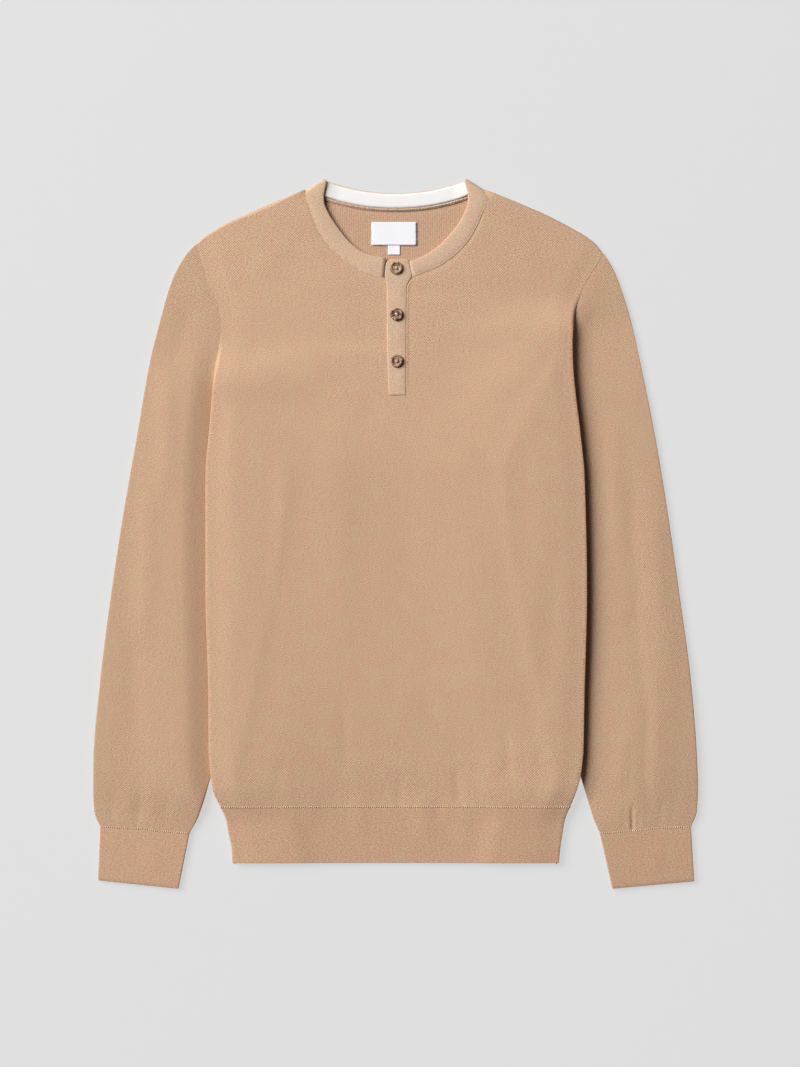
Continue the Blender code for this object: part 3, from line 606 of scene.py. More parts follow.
@dataclass
class PanelGrid:
    """The points and knit coordinates of a body panel and its hem band, on shared columns."""

    form: BodyForm
    layer: Layer
    length: float = 630.0
    strip_steps: int = 16
    fold_steps: int = 12
    cover_steps: int = 18
    shoulder_steps: int = 9
    neck_steps: int = 27
    slot_steps: int = 7
    roll_steps: int = 5
    shoulder_turn: float = math.radians(80)
    shoulder_end: float = 2.9
    corner_reach: float = 0.4
    open_reach: float = 1.6
    corner_span: Span = (0.02, 0.12)
    by_neck: Span = (0.5, 0.5)
    spread: float = 0.35
    seam_dip: float = 0.28
    seam_dip_width: float = 2.4
    link_dip: float = 0.3
    link_dip_widths: Floats = (1.8, 1.6)
    corner_drop: float = 0.8
    row_step: float = 3.9
    least_apart: float = 0.3
    hem_roll: float = 0.55
    hem_turns: Floats = (18.0, 36.0, 54.0, 70.0, 85.0)

    def __post_init__(self) -> None:
        """Lay out the columns from one turned-under end to the other."""
        left, between, right = self._neckline()
        middle = [Column(Stretch.NECK, Side.LEFT, 0.0, tuple(point)) for point in between]
        self.columns = self._half(Side.LEFT, left) + middle + self._half(Side.RIGHT, right)[::-1]
        necks = [index for index, column in enumerate(self.columns) if column.stretch is Stretch.NECK]
        self.neck_range = (necks[0], necks[-1])

    def _neckline(self) -> tuple[Array, Array, Array]:
        """Neck points from the left corner to the placket, across it, and from the right corner to it."""
        pattern = self.form.pattern
        if self.layer is Layer.FRONT:
            shares = np.linspace(0, 1, self.neck_steps + 1)
            left = pattern.neckline[Side.LEFT].at(shares)
            right = pattern.neckline[Side.RIGHT].at(shares)
            between = blend(left[-1], right[-1], np.linspace(0, 1, self.slot_steps + 1)[1:-1, None])
            return left, between, right
        steps = 2 * self.neck_steps + self.slot_steps
        points = pattern.back_neckline.at(np.linspace(0, 1, steps + 1))
        last = self.neck_steps + self.slot_steps
        return points[:self.neck_steps + 1], points[self.neck_steps + 1:last], points[:last - 1:-1]

    def _half(self, side: Side, neckline: Array) -> list[Column]:
        """Columns of one half, from the turned-under end to the neck's centre."""
        form, pattern = self.form, self.form.pattern
        tip = np.array(pattern.shoulder[side][0][1])
        strip, fold = np.arange(self.strip_steps, 0, -1), np.arange(self.fold_steps)
        cover, shoulder = np.arange(self.cover_steps + 1), np.arange(1, self.shoulder_steps)
        columns = []
        for share in strip / self.strip_steps:
            x, y, _ = form.strip_point(self.layer, side, tip, share)
            columns.append(Column(Stretch.STRIP, side, share, (x, y)))
        runs = [(Stretch.FOLD, share, form.fold_point(self.layer, side, tip, share)[0])
                for share in fold / self.fold_steps]
        runs += [(Stretch.COVER, share, form.cover_x(side, tip, share)) for share in cover / self.cover_steps]
        runs += [(Stretch.SHOULDER, share, blend(form.cover_x(side, tip, 1.0), neckline[0][0], share))
                 for share in shoulder / self.shoulder_steps]
        columns += [Column(stretch, side, share, (x, pattern.shoulder_height(side, x)))
                    for stretch, share, x in runs]
        return columns + [Column(Stretch.NECK, side, 0.0, tuple(point)) for point in neckline]

    def _outward(self, index: int) -> Array:
        """Unit direction in plan that points out of the panel across its top edge."""
        if self.columns[index].stretch in (Stretch.STRIP, Stretch.FOLD):
            return np.array((0.0, 1.0))
        before = np.array(self.columns[max(index - 1, 0)].top)
        after = np.array(self.columns[min(index + 1, len(self.columns) - 1)].top)
        run = (after - before) / np.hypot(*(after - before))
        return np.array((-run[1], run[0]))

    def _neck_share(self, index: int) -> float:
        """Where a neck column stands between the two neck corners, 0 to 1."""
        first, last = self.neck_range
        return (index - first) / (last - first)

    def _top_edge(self, index: int) -> tuple[bool, bool, float]:
        """Whether a column starts at the open neck, whether its top rolls down, and by what angle."""
        open_edge = self.columns[index].stretch is Stretch.NECK and 0 < self._neck_share(index) < 1
        rolled = self.layer is Layer.FRONT and not open_edge
        return open_edge, rolled, self.shoulder_turn if rolled else self.form.least_turn

    def _column_points(self, index: int, start_x: float, y: Array, levels: Array) -> tuple[Array, Array]:
        """Points and knit coordinates of one column.

        Args:
            index: the column.
            start_x: plan x of level 0.
            y: heights up the sweater.
            levels: level of each, 0 at the column's start and 1 at the hem seam.

        Returns:
            The points, and the (u, v) of each in millimetres of cloth.
        """
        form, column = self.form, self.columns[index]
        side = column.side
        turn, radius, centre = form.fold_shape(side, y)
        if column.stretch is Stretch.STRIP:
            points = form.strip_point(self.layer, side, y, column.share)
            width = np.maximum(abs(form.strip_end(side, y) - centre), form.least_strip)
            return points, np.stack((centre + side.sign * (radius * turn + width * column.share), y), axis=-1)
        if column.stretch is Stretch.FOLD:
            points = form.fold_point(self.layer, side, y, column.share)
            return points, np.stack((centre + side.sign * radius * turn * (1 - column.share), y), axis=-1)
        corners = {s: form.pattern.neckline[s].points[0][0] for s in Side}
        if column.stretch is Stretch.COVER:
            x = form.cover_x(side, y, column.share)
        elif column.stretch is Stretch.SHOULDER:
            x = blend(form.cover_x(side, y, 1.0), corners[side], column.share)
        else:
            spread = blend(corners[Side.LEFT], corners[Side.RIGHT], self._neck_share(index))
            x = blend(start_x, spread, smoothstep(levels / self.spread))
        z = form.top(self.layer, x, y)
        return np.stack((x, y, z), axis=-1), np.stack((x, y), axis=-1)

    def _starts(self) -> tuple[Array, Array, list[float]]:
        """Plan point where each column leaves its top edge's roll, and that roll's reach and radius.

        Returns:
            The points, held apart where the neckline runs along the columns, the reaches and the radii.
        """
        starts, radii = [], []
        for index, column in enumerate(self.columns):
            open_edge, rolled, turn = self._top_edge(index)
            near = min(self._neck_share(index), 1 - self._neck_share(index)) if open_edge else 1.0
            reach = self.corner_reach + self.open_reach * float(ramp(near, *self.corner_span))
            edge = float(self.form.top(self.layer, *column.top))
            by_neck = 1.0 if column.stretch is Stretch.NECK else 0.0
            if column.stretch is Stretch.SHOULDER:
                by_neck = float(ramp(column.share, *self.by_neck))
            end = blend(self.shoulder_end, edge - self.corner_drop, by_neck)
            radius = (edge - end) / (1 - math.cos(turn)) if rolled else reach / turn
            starts.append(np.array(column.top) - self._outward(index) * radius * math.sin(turn))
            radii.append(radius)
        starts = np.array(starts)
        reaches = np.array([column.top for column in self.columns]) - starts
        first, last = self.neck_range
        for index in range(first + 1, first + self.neck_steps):
            starts[index, 0] = max(starts[index, 0], starts[index - 1, 0] + self.least_apart)
        for index in range(last - 1, last - self.neck_steps, -1):
            starts[index, 0] = min(starts[index, 0], starts[index + 1, 0] - self.least_apart)
        return starts, reaches, radii

    def panel(self) -> tuple[Array, Array]:
        """The panel's grid, its first rows rolling down along the shoulders.

        Returns:
            Points as rows of columns, and their knit coordinates.
        """
        pattern = self.form.pattern
        end = pattern.hem_seam + pattern.link_half_gap
        levels = graded(self.length, self.row_step)
        run = levels * self.length
        dip_top = self.seam_dip * np.exp(-(run / self.seam_dip_width) ** 2)
        from_hem = (1 - levels) * self.length
        dip_end = self.link_dip * self.seam_dip * np.exp(-(from_hem / self.link_dip_widths[0]) ** 2)
        sides, coordinates = [], []
        for index, (column, start, reach, radius) in enumerate(zip(self.columns, *self._starts())):
            open_edge, rolled, turn = self._top_edge(index)
            points, knit = self._column_points(index, start[0], blend(start[1], end, levels), levels)
            angles = turn * (1 - np.arange(self.roll_steps) / self.roll_steps)
            if column.stretch is not Stretch.NECK:
                reach = np.array(column.top) - points[0][:2]
            out = (np.sin(angles) / math.sin(turn))[:, None] * reach
            down = radius * (1 - np.cos(angles)) if rolled else np.zeros(self.roll_steps)
            roll = points[0] + np.column_stack((out, -down))
            roll_knit = knit[0] + np.column_stack((np.zeros(self.roll_steps), radius * angles))
            if column.stretch not in (Stretch.STRIP, Stretch.FOLD):
                points[:, 2] -= dip_end
                if open_edge:
                    points[:, 2] -= dip_top
                    roll[:, 2] -= self.seam_dip
            sides.append(np.concatenate((roll, points)))
            coordinates.append(np.concatenate((roll_knit, knit)))
        return np.stack(sides, axis=1), np.stack(coordinates, axis=1)

    def hem(self) -> tuple[Array, Array]:
        """The hem band's grid on the same columns, its lower edge rolled down.

        Returns:
            Points as rows of columns, and their knit coordinates.
        """
        pattern = self.form.pattern
        top = pattern.hem_seam - pattern.link_half_gap
        end = pattern.hem_end + self.hem_roll
        levels = graded(top - end, self.row_step)
        run = levels * (top - end)
        dip = self.link_dip * self.seam_dip * np.exp(-(run / self.link_dip_widths[1]) ** 2)
        y, whole = blend(top, end, levels), np.ones(len(levels))
        angles = np.radians(self.hem_turns)
        grids = []
        for index, column in enumerate(self.columns):
            points, knit = self._column_points(index, column.top[0], y, whole)
            inwards = self._inwards(column)
            points = points + dip[:, None] * inwards
            rolled = points[-1] + np.stack((0 * angles, -self.hem_roll * np.sin(angles), 0 * angles), axis=-1)
            rolled = rolled + (self.hem_roll * (1 - np.cos(angles)))[:, None] * inwards
            rolled_knit = knit[-1] - np.stack((0 * angles, self.hem_roll * angles), axis=-1)
            grids.append((np.concatenate((points, rolled)), np.concatenate((knit, rolled_knit))))
        return np.stack([g[0] for g in grids], axis=1), np.stack([g[1] for g in grids], axis=1)

    def _inwards(self, column: Column) -> Array:
        """Unit direction into the cloth at the hem, down on the main panel and up on the strip."""
        angle = 0.0
        if column.stretch is Stretch.STRIP:
            angle = math.pi
        if column.stretch is Stretch.FOLD:
            angle = math.pi * (1 - column.share)
        return np.array((-column.side.sign * math.sin(angle), 0.0, -math.cos(angle)))


# ---- sleeve form

@dataclass(frozen=True)
class Press:
    """How the body's edge presses the sleeve down: how deep, where it rises again outside the edge, how high
    it is crowned there, over what width the crown eases off, and how steeply the rise begins."""

    low: float
    start: float
    end: float
    crown: float
    ease: float
    steep: float


@dataclass
class SleeveGrid:
    """The points and knit coordinates of one sleeve and its cuff, as flattened tubes."""

    form: BodyForm
    side: Side
    creases: tuple[Crease, ...]
    under_creases: tuple[Crease, ...]
    press: Press
    length: float = 570.0
    cuff_length: float = 56.0
    cuff_height: float = 5.2
    cap_drop: float = -0.5
    cap_points: int = 60
    cap_blend: float = 8.0
    cap_tuck: float = 1.4
    fold_tuck: float = 7.0
    tuck_length: float = 30.0
    cap_dip: float = 0.25
    cap_dip_width: float = 2.2
    corner_level: float = 0.002
    across_step: float = 3.6
    along_step: float = 4.0
    end_roll: float = 0.4
    under_lip: float = 0.9
    fold_press: float = 0.3
    fold_angles: Floats = (0.0, 14.0, 32.0, 50.0, 66.0, 80.0)
    bag: float = 1.8
    bag_from: Span = (0.55, 0.3)
    bag_to: Span = (0.87, 0.14)
    even_rise: float = 0.6
    trough_from: Span = (-26.0, 20.0)
    crown_loss: float = 0.8
    press_from: float = 0.05
    press_to: Span = (0.9, 0.1)
    crease_from: float = 0.04
    crease_out: Span = (-2.0, 12.0)
    narrowing: Span = (0.93, 0.07)
    tilt: float = math.radians(6.0)

    def _cap(self) -> PlanCurve:
        """The armhole seam from the shoulder tip down to the underarm."""
        pattern, side = self.form.pattern, self.side
        tip = pattern.shoulder[side][0][1] - self.cap_drop
        y = np.linspace(tip, pattern.underarm, self.cap_points)
        edge = pattern.edge[side](y)
        lower = blend(edge, pattern.hidden[side](y), smoothstep((side.fold_to - y) / self.cap_blend))
        above = ramp(y, pattern.underarm, self.tuck_length)
        tuck = self.cap_tuck + self.fold_tuck * (smoothstep(2 * self.form.fold_share(side, y)) * above)
        x = np.where(y >= side.fold_to, edge, lower) - side.sign * tuck
        return PlanCurve(tuple(zip(x, y)))

    def _place(self, share, level) -> Array:
        """Plan points of the sleeve: share 0 at its outer fold, level 0 at the armhole."""
        pattern, side = self.form.pattern, self.side
        cap, wrist = self._cap(), pattern.cuff_seam[side]
        ends = {0: cap.at(share), 1: wrist.at(share)}
        corners = {(s, l): (cap, wrist)[l].at(s) for s in (0.0, 1.0) for l in (0, 1)}
        outer_y = blend(corners[0.0, 0][1], corners[0.0, 1][1], level)
        outer_x = pattern.sleeve_outer[side](outer_y)
        outer_x = blend(outer_x, corners[0.0, 0][0], np.maximum(0.0, 1 - level / self.corner_level))
        inner_y = blend(corners[1.0, 0][1], corners[1.0, 1][1], level)
        inner_x = pattern.sleeve_inner[side](inner_y)
        outer, inner = np.stack((outer_x, outer_y), axis=-1), np.stack((inner_x, inner_y), axis=-1)
        share, level = np.asarray(share)[..., None], np.asarray(level)[..., None]
        sides = blend(outer, inner, share)
        across = blend(ends[0], ends[1], level)
        flat = blend(blend(corners[0.0, 0], corners[1.0, 0], share),
                     blend(corners[0.0, 1], corners[1.0, 1], share), level)
        return sides + across - flat

    def height(self, x, y, level):
        """Height of the sleeve's upper face: pressed beside the body's edge, crowned outside it.

        Args:
            x: plan x.
            y: plan y.
            level: 0 at the armhole, 1 at the cuff.

        Returns:
            The heights.
        """
        form, side, press = self.form, self.side, self.press
        out = side.sign * (x - form.pattern.edge[side](y))
        bag = self.bag * ramp(level, *self.bag_from) * (1 - ramp(level, *self.bag_to))
        even = np.clip((out - press.start) / (press.end - press.start), 0.0, 1.0)
        soft = self.even_rise * even + (1 - self.even_rise) * smoothstep(even)
        rise = blend(soft, 1 - (1 - even) ** 2, press.steep)
        trough = ramp(out, *self.trough_from) * (1 - rise)
        crown = rise * (1 - self.crown_loss * ramp(out, press.end, press.ease))
        beside = form.fold_share(side, y) * smoothstep(level / self.press_from)
        beside = beside * (1 - ramp(level, *self.press_to))
        shape = form.sleeve_height + bag + beside * (press.crown * crown - press.low * trough)
        folds = relief(self.creases, x, y) * smoothstep(level / self.crease_from)
        return shape + folds * ramp(out, *self.crease_out)

    def _ring(self, place: Callable, level: float, top: Callable, bottom: Callable, count: int) -> Array:
        """One ring round the flattened tube, its folds half round.

        Args:
            place: plan points over share and level.
            level: where along the tube.
            top: height of the upper face over x, y and level.
            bottom: height of the underside, likewise.
            count: steps across each face.

        Returns:
            The ring's points, closed.
        """
        ends = place(np.array((0.0, 1.0)), np.full(2, level))
        width = float(np.hypot(*(ends[1] - ends[0])))
        radii = [float(top(*end, level) - bottom(*end, level)) / 2 for end in ends]
        angles = np.radians(self.fold_angles)
        inwards = 1 - np.cos(angles) ** self.fold_press
        rises = np.sin(angles) ** self.fold_press
        near, far = radii[0] * inwards / width, 1 - radii[1] * inwards / width
        middle = np.linspace(radii[0] / width, 1 - radii[1] / width, count + 1)
        shares = np.concatenate((near, middle, far[::-1]))
        rise = np.concatenate((rises, np.ones(count + 1), rises[::-1]))
        plan = place(shares, np.full(len(shares), level))
        low, high = (face(plan[:, 0], plan[:, 1], level) for face in (bottom, top))
        centre, half = (low + high) / 2, (high - low) / 2
        upper = np.column_stack((plan, centre + half * rise))
        lower = np.column_stack((plan, centre - half * rise))[-2::-1]
        return np.concatenate((upper, lower))

    def _tube(self, place: Callable, levels: Array, top: Callable, bottom: Callable) -> tuple[Array, Array]:
        """Rings down a tube, all with the same number of points, and their knit coordinates.

        Args:
            place: plan points over share and level.
            levels: where the rings stand along the tube.
            top: height of the upper face over x, y and level.
            bottom: height of the underside, likewise.

        Returns:
            Points as rows of rings, and their knit coordinates.
        """
        spans = [np.diff(place(np.array((0.0, 1.0)), np.full(2, level)), axis=0)[0] for level in levels]
        count = round(max(np.hypot(*span) for span in spans) / self.across_step)
        rings = [self._ring(place, level, top, bottom, count) for level in levels]
        return np.stack(rings), np.stack([self._knit(ring) for ring in rings])

    def _knit(self, ring: Array) -> Array:
        """Knit coordinates of a ring, across and along the sleeve, mirrored on the underside."""
        tilt = self.side.sign * self.tilt
        across = ring[:, 0] * math.cos(tilt) + ring[:, 1] * math.sin(tilt)
        along = ring[:, 1] * math.cos(tilt) - ring[:, 0] * math.sin(tilt)
        half = len(ring) // 2
        across[half:] = 2 * across[half] - across[half:]
        return np.column_stack((across, along))

    def sleeve(self) -> tuple[Array, Array]:
        """The sleeve's rings and knit coordinates."""
        levels = graded(self.length, self.along_step)
        dip = SmoothLine((0.0, 0.985, 0.996, 1.0), (0.0, 0.0, 0.06, 0.2))

        def top(x, y, level):
            narrow = ramp(level, *self.narrowing) * (self.cuff_height - self.form.sleeve_height)
            tucked = self.cap_dip * np.exp(-(level * self.length / self.cap_dip_width) ** 2)
            return self.height(x, y, level) + narrow - dip(level) - tucked

        def bottom(x, y, level):
            return relief(self.under_creases, x, y) * smoothstep(level / self.press_from)

        return self._tube(self._place, levels, top, bottom)

    def cuff(self) -> tuple[Array, Array]:
        """The cuff's rings and knit coordinates, its open end rolled in."""
        pattern, side = self.form.pattern, self.side
        seam, end = pattern.cuff_seam[side], pattern.cuff_end[side]
        shift = np.array((0.0, -2 * pattern.link_half_gap))
        levels = graded(self.cuff_length, self.along_step)
        lip = SmoothLine((0.0, 0.95, 0.972, 0.988, 1.0), (0.0, 0.0, 0.12, 0.4, self.end_roll))
        dip = SmoothLine((0.0, 0.03, 0.08, 1.0), (0.18, 0.05, 0.0, 0.0))

        def place(share, level):
            return blend(seam.at(share), end.at(share), np.asarray(level)[..., None]) + shift

        def top(x, y, level):
            return self.cuff_height + relief(self.creases, x, y) - dip(level) - lip(level)

        def bottom(x, y, level):
            return self.under_lip * lip(level) + 0 * x

        return self._tube(place, levels, top, bottom)


# ---- finishes

def srgb(code: str) -> tuple[float, float, float, float]:
    """Turn an sRGB hex value such as cca88b into linear RGBA."""
    parts = [int(code[index:index + 2], 16) / 255 for index in (0, 2, 4)]
    linear = [part / 12.92 if part <= 0.04045 else ((part + 0.055) / 1.055) ** 2.4 for part in parts]
    return (*linear, 1.0)


def feed(tree: NodeTree, node: Node, settings: dict | None = None, links: dict | None = None) -> None:
    """Set and link a node's inputs.

    Args:
        tree: the node tree.
        node: the node.
        settings: input name or index to its value.
        links: input name or index to the output that feeds it, or to a node for its first output.
    """
    for name, value in (settings or {}).items():
        node.inputs[name].default_value = value
    for name, source in (links or {}).items():
        tree.links.new(getattr(source, "outputs", (source,))[0], node.inputs[name])


def add_node(tree: NodeTree, kind: str, settings: dict | None = None, links: dict | None = None,
             **attributes) -> Node:
    """Add a node with its settings and links.

    Args:
        tree: the node tree.
        kind: the node's type name without its first word, ShaderNode.
        settings: as in feed.
        links: as in feed.
        attributes: properties of the node itself.

    Returns:
        The new node.
    """
    node = tree.nodes.new("ShaderNode" + kind)
    for name, value in attributes.items():
        setattr(node, name, value)
    feed(tree, node, settings, links)
    return node


def new_material(name: str) -> tuple[Material, NodeTree, Node]:
    """A material with only its shader and output, and the tree and shader to build on."""
    material = bpy.data.materials.new(name)
    material.use_nodes = True
    return material, material.node_tree, material.node_tree.nodes["Principled BSDF"]


class Stitch(Enum):
    """How a knit is made up, which gives its relief."""

    BIRDSEYE = "birdseye"
    JERSEY = "jersey"
    PURL = "purl"


@dataclass(frozen=True)
class KnitFinish:
    """Mélange wool and cotton yarn, knitted: a matt, slightly hairy loop surface, flecked by mixed fibres.

    Pitches and sizes are millimetres. The real loops are about 1.3 mm apart, which is what is drawn here:
    wobble pulls them out of line, fibre is one fleck across and along, and drift varies the bird's eye.
    """

    name: str
    stitch: Stitch
    light: str
    deep: str
    pink: str
    straw: str
    pitch: float = 2.6
    contrast: float = 0.62
    fleck: float = 0.5
    bump: float = 0.35
    wobble: float = 1.5
    wobble_size: float = 14.0
    fibre: Floats = (1.9, 1.1)
    dye_size: float = 17.0
    drift_size: float = 45.0
    course_share: float = 0.8

    def material(self) -> Material:
        """Build the node material.

        Returns:
            The material, on the piece's own UV map in metres of cloth.
        """
        material, tree, shader = new_material(self.name)
        cloth = add_node(tree, "TexCoord").outputs["UV"]
        wobble = add_node(tree, "TexNoise", {"Scale": 1 / (self.wobble_size * MM), "Detail": 1.0},
                          {"Vector": cloth})
        shift = add_node(tree, "VectorMath", {1: (0.5, 0.5, 0.5)}, {0: wobble.outputs["Color"]},
                         operation="SUBTRACT")
        shift = add_node(tree, "VectorMath", {"Scale": self.wobble * MM}, {0: shift}, operation="SCALE")
        loose = add_node(tree, "VectorMath", None, {0: cloth, 1: shift}, operation="ADD")
        loops = self._loops(tree, loose.outputs[0])
        fibre = (1 / (self.fibre[0] * MM), 1 / (self.fibre[1] * MM), 1.0)
        fibres = add_node(tree, "Mapping", {"Scale": fibre}, {"Vector": cloth})
        fleck = add_node(tree, "TexNoise", {"Scale": 1.0, "Detail": 2.0, "Roughness": 0.6},
                         {"Vector": fibres})
        speck = add_node(tree, "MapRange",
                         {"From Min": 0.3, "From Max": 0.7, "To Min": -0.5, "To Max": 0.5},
                         {"Value": fleck.outputs["Fac"]})
        shade = add_node(tree, "Math", {1: self.fleck}, {0: speck, 2: loops}, operation="MULTIPLY_ADD",
                         use_clamp=True)
        yarn = add_node(tree, "Mix", {6: srgb(self.deep), 7: srgb(self.light)}, {0: shade}, data_type="RGBA")
        cloud = add_node(tree, "TexNoise", {"Scale": 1 / (self.dye_size * MM), "Detail": 2.0},
                         {"Vector": cloth})
        patch = add_node(tree, "MapRange", {"From Min": 0.36, "From Max": 0.64},
                         {"Value": cloud.outputs["Fac"]})
        hue = add_node(tree, "Mix", {6: srgb(self.pink), 7: srgb(self.straw)}, {0: patch}, data_type="RGBA")
        dyed = add_node(tree, "Mix", {0: 1.0}, {6: yarn.outputs[2], 7: hue.outputs[2]},
                        data_type="RGBA", blend_type="MULTIPLY")
        relief_height = add_node(tree, "Math", {1: 0.35}, {0: speck, 2: loops}, operation="MULTIPLY_ADD")
        bump = add_node(tree, "Bump", {"Strength": 1.0, "Distance": self.bump * MM},
                        {"Height": relief_height})
        feed(tree, shader, {"Roughness": 0.92, "Specular IOR Level": 0.22},
             {"Base Color": dyed.outputs[2], "Normal": bump})
        return material

    def _wave(self, tree: NodeTree, value, pitch: float):
        """Cosine of a coordinate, one cycle every pitch millimetres."""
        turns = math.tau / (pitch * MM)
        phase = add_node(tree, "Math", {1: turns}, {0: value}, operation="MULTIPLY")
        return add_node(tree, "Math", None, {0: phase}, operation="COSINE").outputs[0]

    def _loops(self, tree: NodeTree, vector):
        """Height of the loops, about 0 to 1, as the stitch makes it."""
        if self.stitch is Stitch.BIRDSEYE:
            turned = add_node(tree, "Mapping", {"Rotation": (0.0, 0.0, math.radians(45))},
                              {"Vector": vector})
            parts = add_node(tree, "SeparateXYZ", None, {0: turned})
            diagonal = self.pitch / math.sqrt(2)
            rising = self._wave(tree, parts.outputs[0], diagonal)
            falling = self._wave(tree, parts.outputs[1], diagonal)
            drift = add_node(tree, "TexNoise", {"Scale": 1 / (self.drift_size * MM), "Detail": 1.0},
                             {"Vector": vector})
            bias = add_node(tree, "MapRange",
                            {"From Min": 0.35, "From Max": 0.65, "To Min": 0.38, "To Max": 0.82},
                            {"Value": drift.outputs["Fac"]})
            swing = add_node(tree, "Mix", None, {0: bias, 2: falling, 3: rising}).outputs[0]
        else:
            parts = add_node(tree, "SeparateXYZ", None, {0: vector})
            rib = self._wave(tree, parts.outputs[0], self.pitch)
            course = self._wave(tree, parts.outputs[1], self.pitch * self.course_share)
            weight = 0.75 if self.stitch is Stitch.PURL else 0.6
            swing = add_node(tree, "Mix", {0: weight}, {2: course, 3: rib}).outputs[0]
        return add_node(tree, "Math", {1: self.contrast / 2, 2: 0.5}, {0: swing},
                        operation="MULTIPLY_ADD").outputs[0]


@dataclass(frozen=True)
class TapeFinish:
    """Bleached cotton or polyester tape, woven: flat, close and almost plain, with a faint cross rib."""

    name: str
    colour: str
    shade: str
    pitch: float = 1.2
    cloud_size: float = 6.0
    bump: float = 0.05
    roughness: float = 0.75

    def material(self) -> Material:
        """Build the node material.

        Returns:
            The material, on Object coordinates.
        """
        material, tree, shader = new_material(self.name)
        place = add_node(tree, "TexCoord").outputs["Object"]
        rib = add_node(tree, "TexWave", {"Scale": 1 / (self.pitch * MM) / 3.2, "Distortion": 0.4},
                       {"Vector": place}, bands_direction="DIAGONAL")
        cloud = add_node(tree, "TexNoise", {"Scale": 1 / (self.cloud_size * MM), "Detail": 3.0},
                         {"Vector": place})
        mix = add_node(tree, "Math", {1: 0.35}, {0: rib.outputs["Fac"], 2: cloud.outputs["Fac"]},
                       operation="MULTIPLY_ADD", use_clamp=True)
        colour = add_node(tree, "Mix", {6: srgb(self.shade), 7: srgb(self.colour)},
                          {0: mix}, data_type="RGBA")
        bump = add_node(tree, "Bump", {"Strength": 0.8, "Distance": self.bump * MM},
                        {"Height": rib.outputs["Fac"]})
        feed(tree, shader, {"Roughness": self.roughness, "Specular IOR Level": 0.3},
             {"Base Color": colour.outputs[2], "Normal": bump})
        return material


@dataclass(frozen=True)
class HornFinish:
    """Polyester cast to look like horn, turned and polished: glossy, clouded from straw to dark brown."""

    name: str
    dark: str
    middle: str
    pale: str
    offset: float
    cloud_size: float = 4.2
    # Where the clouds turn from dark to middle and on to pale.
    shares: Floats = (0.36, 0.47, 0.6)

    def material(self) -> Material:
        """Build the node material.

        Returns:
            The material, on Object coordinates shifted so that each button is clouded its own way.
        """
        material, tree, shader = new_material(self.name)
        place = add_node(tree, "TexCoord").outputs["Object"]
        moved = add_node(tree, "Mapping", {"Location": (self.offset, self.offset * 0.6, 0.0)},
                         {"Vector": place})
        cloud = add_node(tree, "TexNoise",
                         {"Scale": 1 / (self.cloud_size * MM), "Detail": 2.5, "Roughness": 0.5,
                          "Distortion": 1.1}, {"Vector": moved})
        clouded = add_node(tree, "ValToRGB", None, {0: cloud.outputs["Fac"]})
        stops = clouded.color_ramp.elements
        stops[0].position, between, stops[1].position = self.shares
        stops[0].color, stops[1].color = srgb(self.dark), srgb(self.pale)
        stops.new(between).color = srgb(self.middle)
        feed(tree, shader, {"Roughness": 0.4, "IOR": 1.5}, {"Base Color": clouded})
        return material


@dataclass(frozen=True)
class YarnFinish:
    """Spun yarn or sewing thread lying on the knit: matt, with a fine twist too small to show."""

    name: str
    light: str
    deep: str
    fleck_size: float = 1.6

    def material(self) -> Material:
        """Build the node material.

        Returns:
            The material, flecked on Object coordinates.
        """
        material, tree, shader = new_material(self.name)
        place = add_node(tree, "TexCoord").outputs["Object"]
        fleck = add_node(tree, "TexNoise", {"Scale": 1 / (self.fleck_size * MM), "Detail": 2.0},
                         {"Vector": place})
        spread = add_node(tree, "MapRange", {"From Min": 0.3, "From Max": 0.7},
                          {"Value": fleck.outputs["Fac"]})
        colour = add_node(tree, "Mix", {6: srgb(self.deep), 7: srgb(self.light)},
                          {0: spread}, data_type="RGBA")
        feed(tree, shader, {"Roughness": 0.9, "Specular IOR Level": 0.2}, {"Base Color": colour.outputs[2]})
        return material


@dataclass(frozen=True)
class Wardrobe:
    """Every finish of the sweater, built once."""

    knit: Material
    # The body knit a shade darker for the sleeves: painted shade, for the light that falls off across the
    # sweater.
    sleeve_knit_shaded: Material
    wrong_side: Material
    band: Material
    trim: Material
    link: Material
    trim_yarn: Material
    tape: Material
    label: Material
    thread: Material

    @classmethod
    def woven(cls) -> "Wardrobe":
        """Make the finishes.

        Returns:
            The wardrobe.
        """
        yarn = {"pink": "fef4e9", "straw": "fcfae9"}
        right = {**yarn, "stitch": Stitch.BIRDSEYE, "contrast": 0.5, "fleck": 0.6, "bump": 0.26}
        wrong = {**yarn, "stitch": Stitch.PURL, "pitch": 2.3, "contrast": 0.3, "fleck": 0.6, "bump": 0.2}
        plain = {**yarn, "stitch": Stitch.JERSEY, "pitch": 2.1, "contrast": 0.15, "fleck": 0.9}
        finishes = {
            "knit": KnitFinish("birdseye_knit_camel", light="f7d4bd", deep="a48168", **right),
            # The sleeves' copy is a shade darker than the body's: painted shade, standing in for the light
            # that falls off across the sweater.
            "sleeve_knit_shaded": KnitFinish("birdseye_knit_camel_sleeve_shaded", light="f0ceb7", deep="9f7d65", **right),
            "wrong_side": KnitFinish("birdseye_knit_wrong_side", light="eac7b2", deep="a6826b", **wrong),
            "band": KnitFinish("jersey_band_camel", light="e7c3ac", deep="b28e78", bump=0.12, **plain),
            "trim": KnitFinish("jersey_trim_camel", light="ecd0bc", deep="c3a38f", bump=0.1, **plain),
            "link": YarnFinish("linking_yarn_camel", "f4d6bd", "d2ae94"),
            "trim_yarn": YarnFinish("trim_yarn_camel", "efd5be", "c9ab94"),
            "tape": TapeFinish("cotton_neck_tape", "fcf9f6", "f4f1ee"),
            "label": TapeFinish("satin_label", "fcfbff", "f7f6fc", pitch=0.8, bump=0.02, roughness=0.55),
            "thread": YarnFinish("button_thread", "f0dcc8", "c8ad94")}
        return cls(**{name: finish.material() for name, finish in finishes.items()})


# ---- making meshes

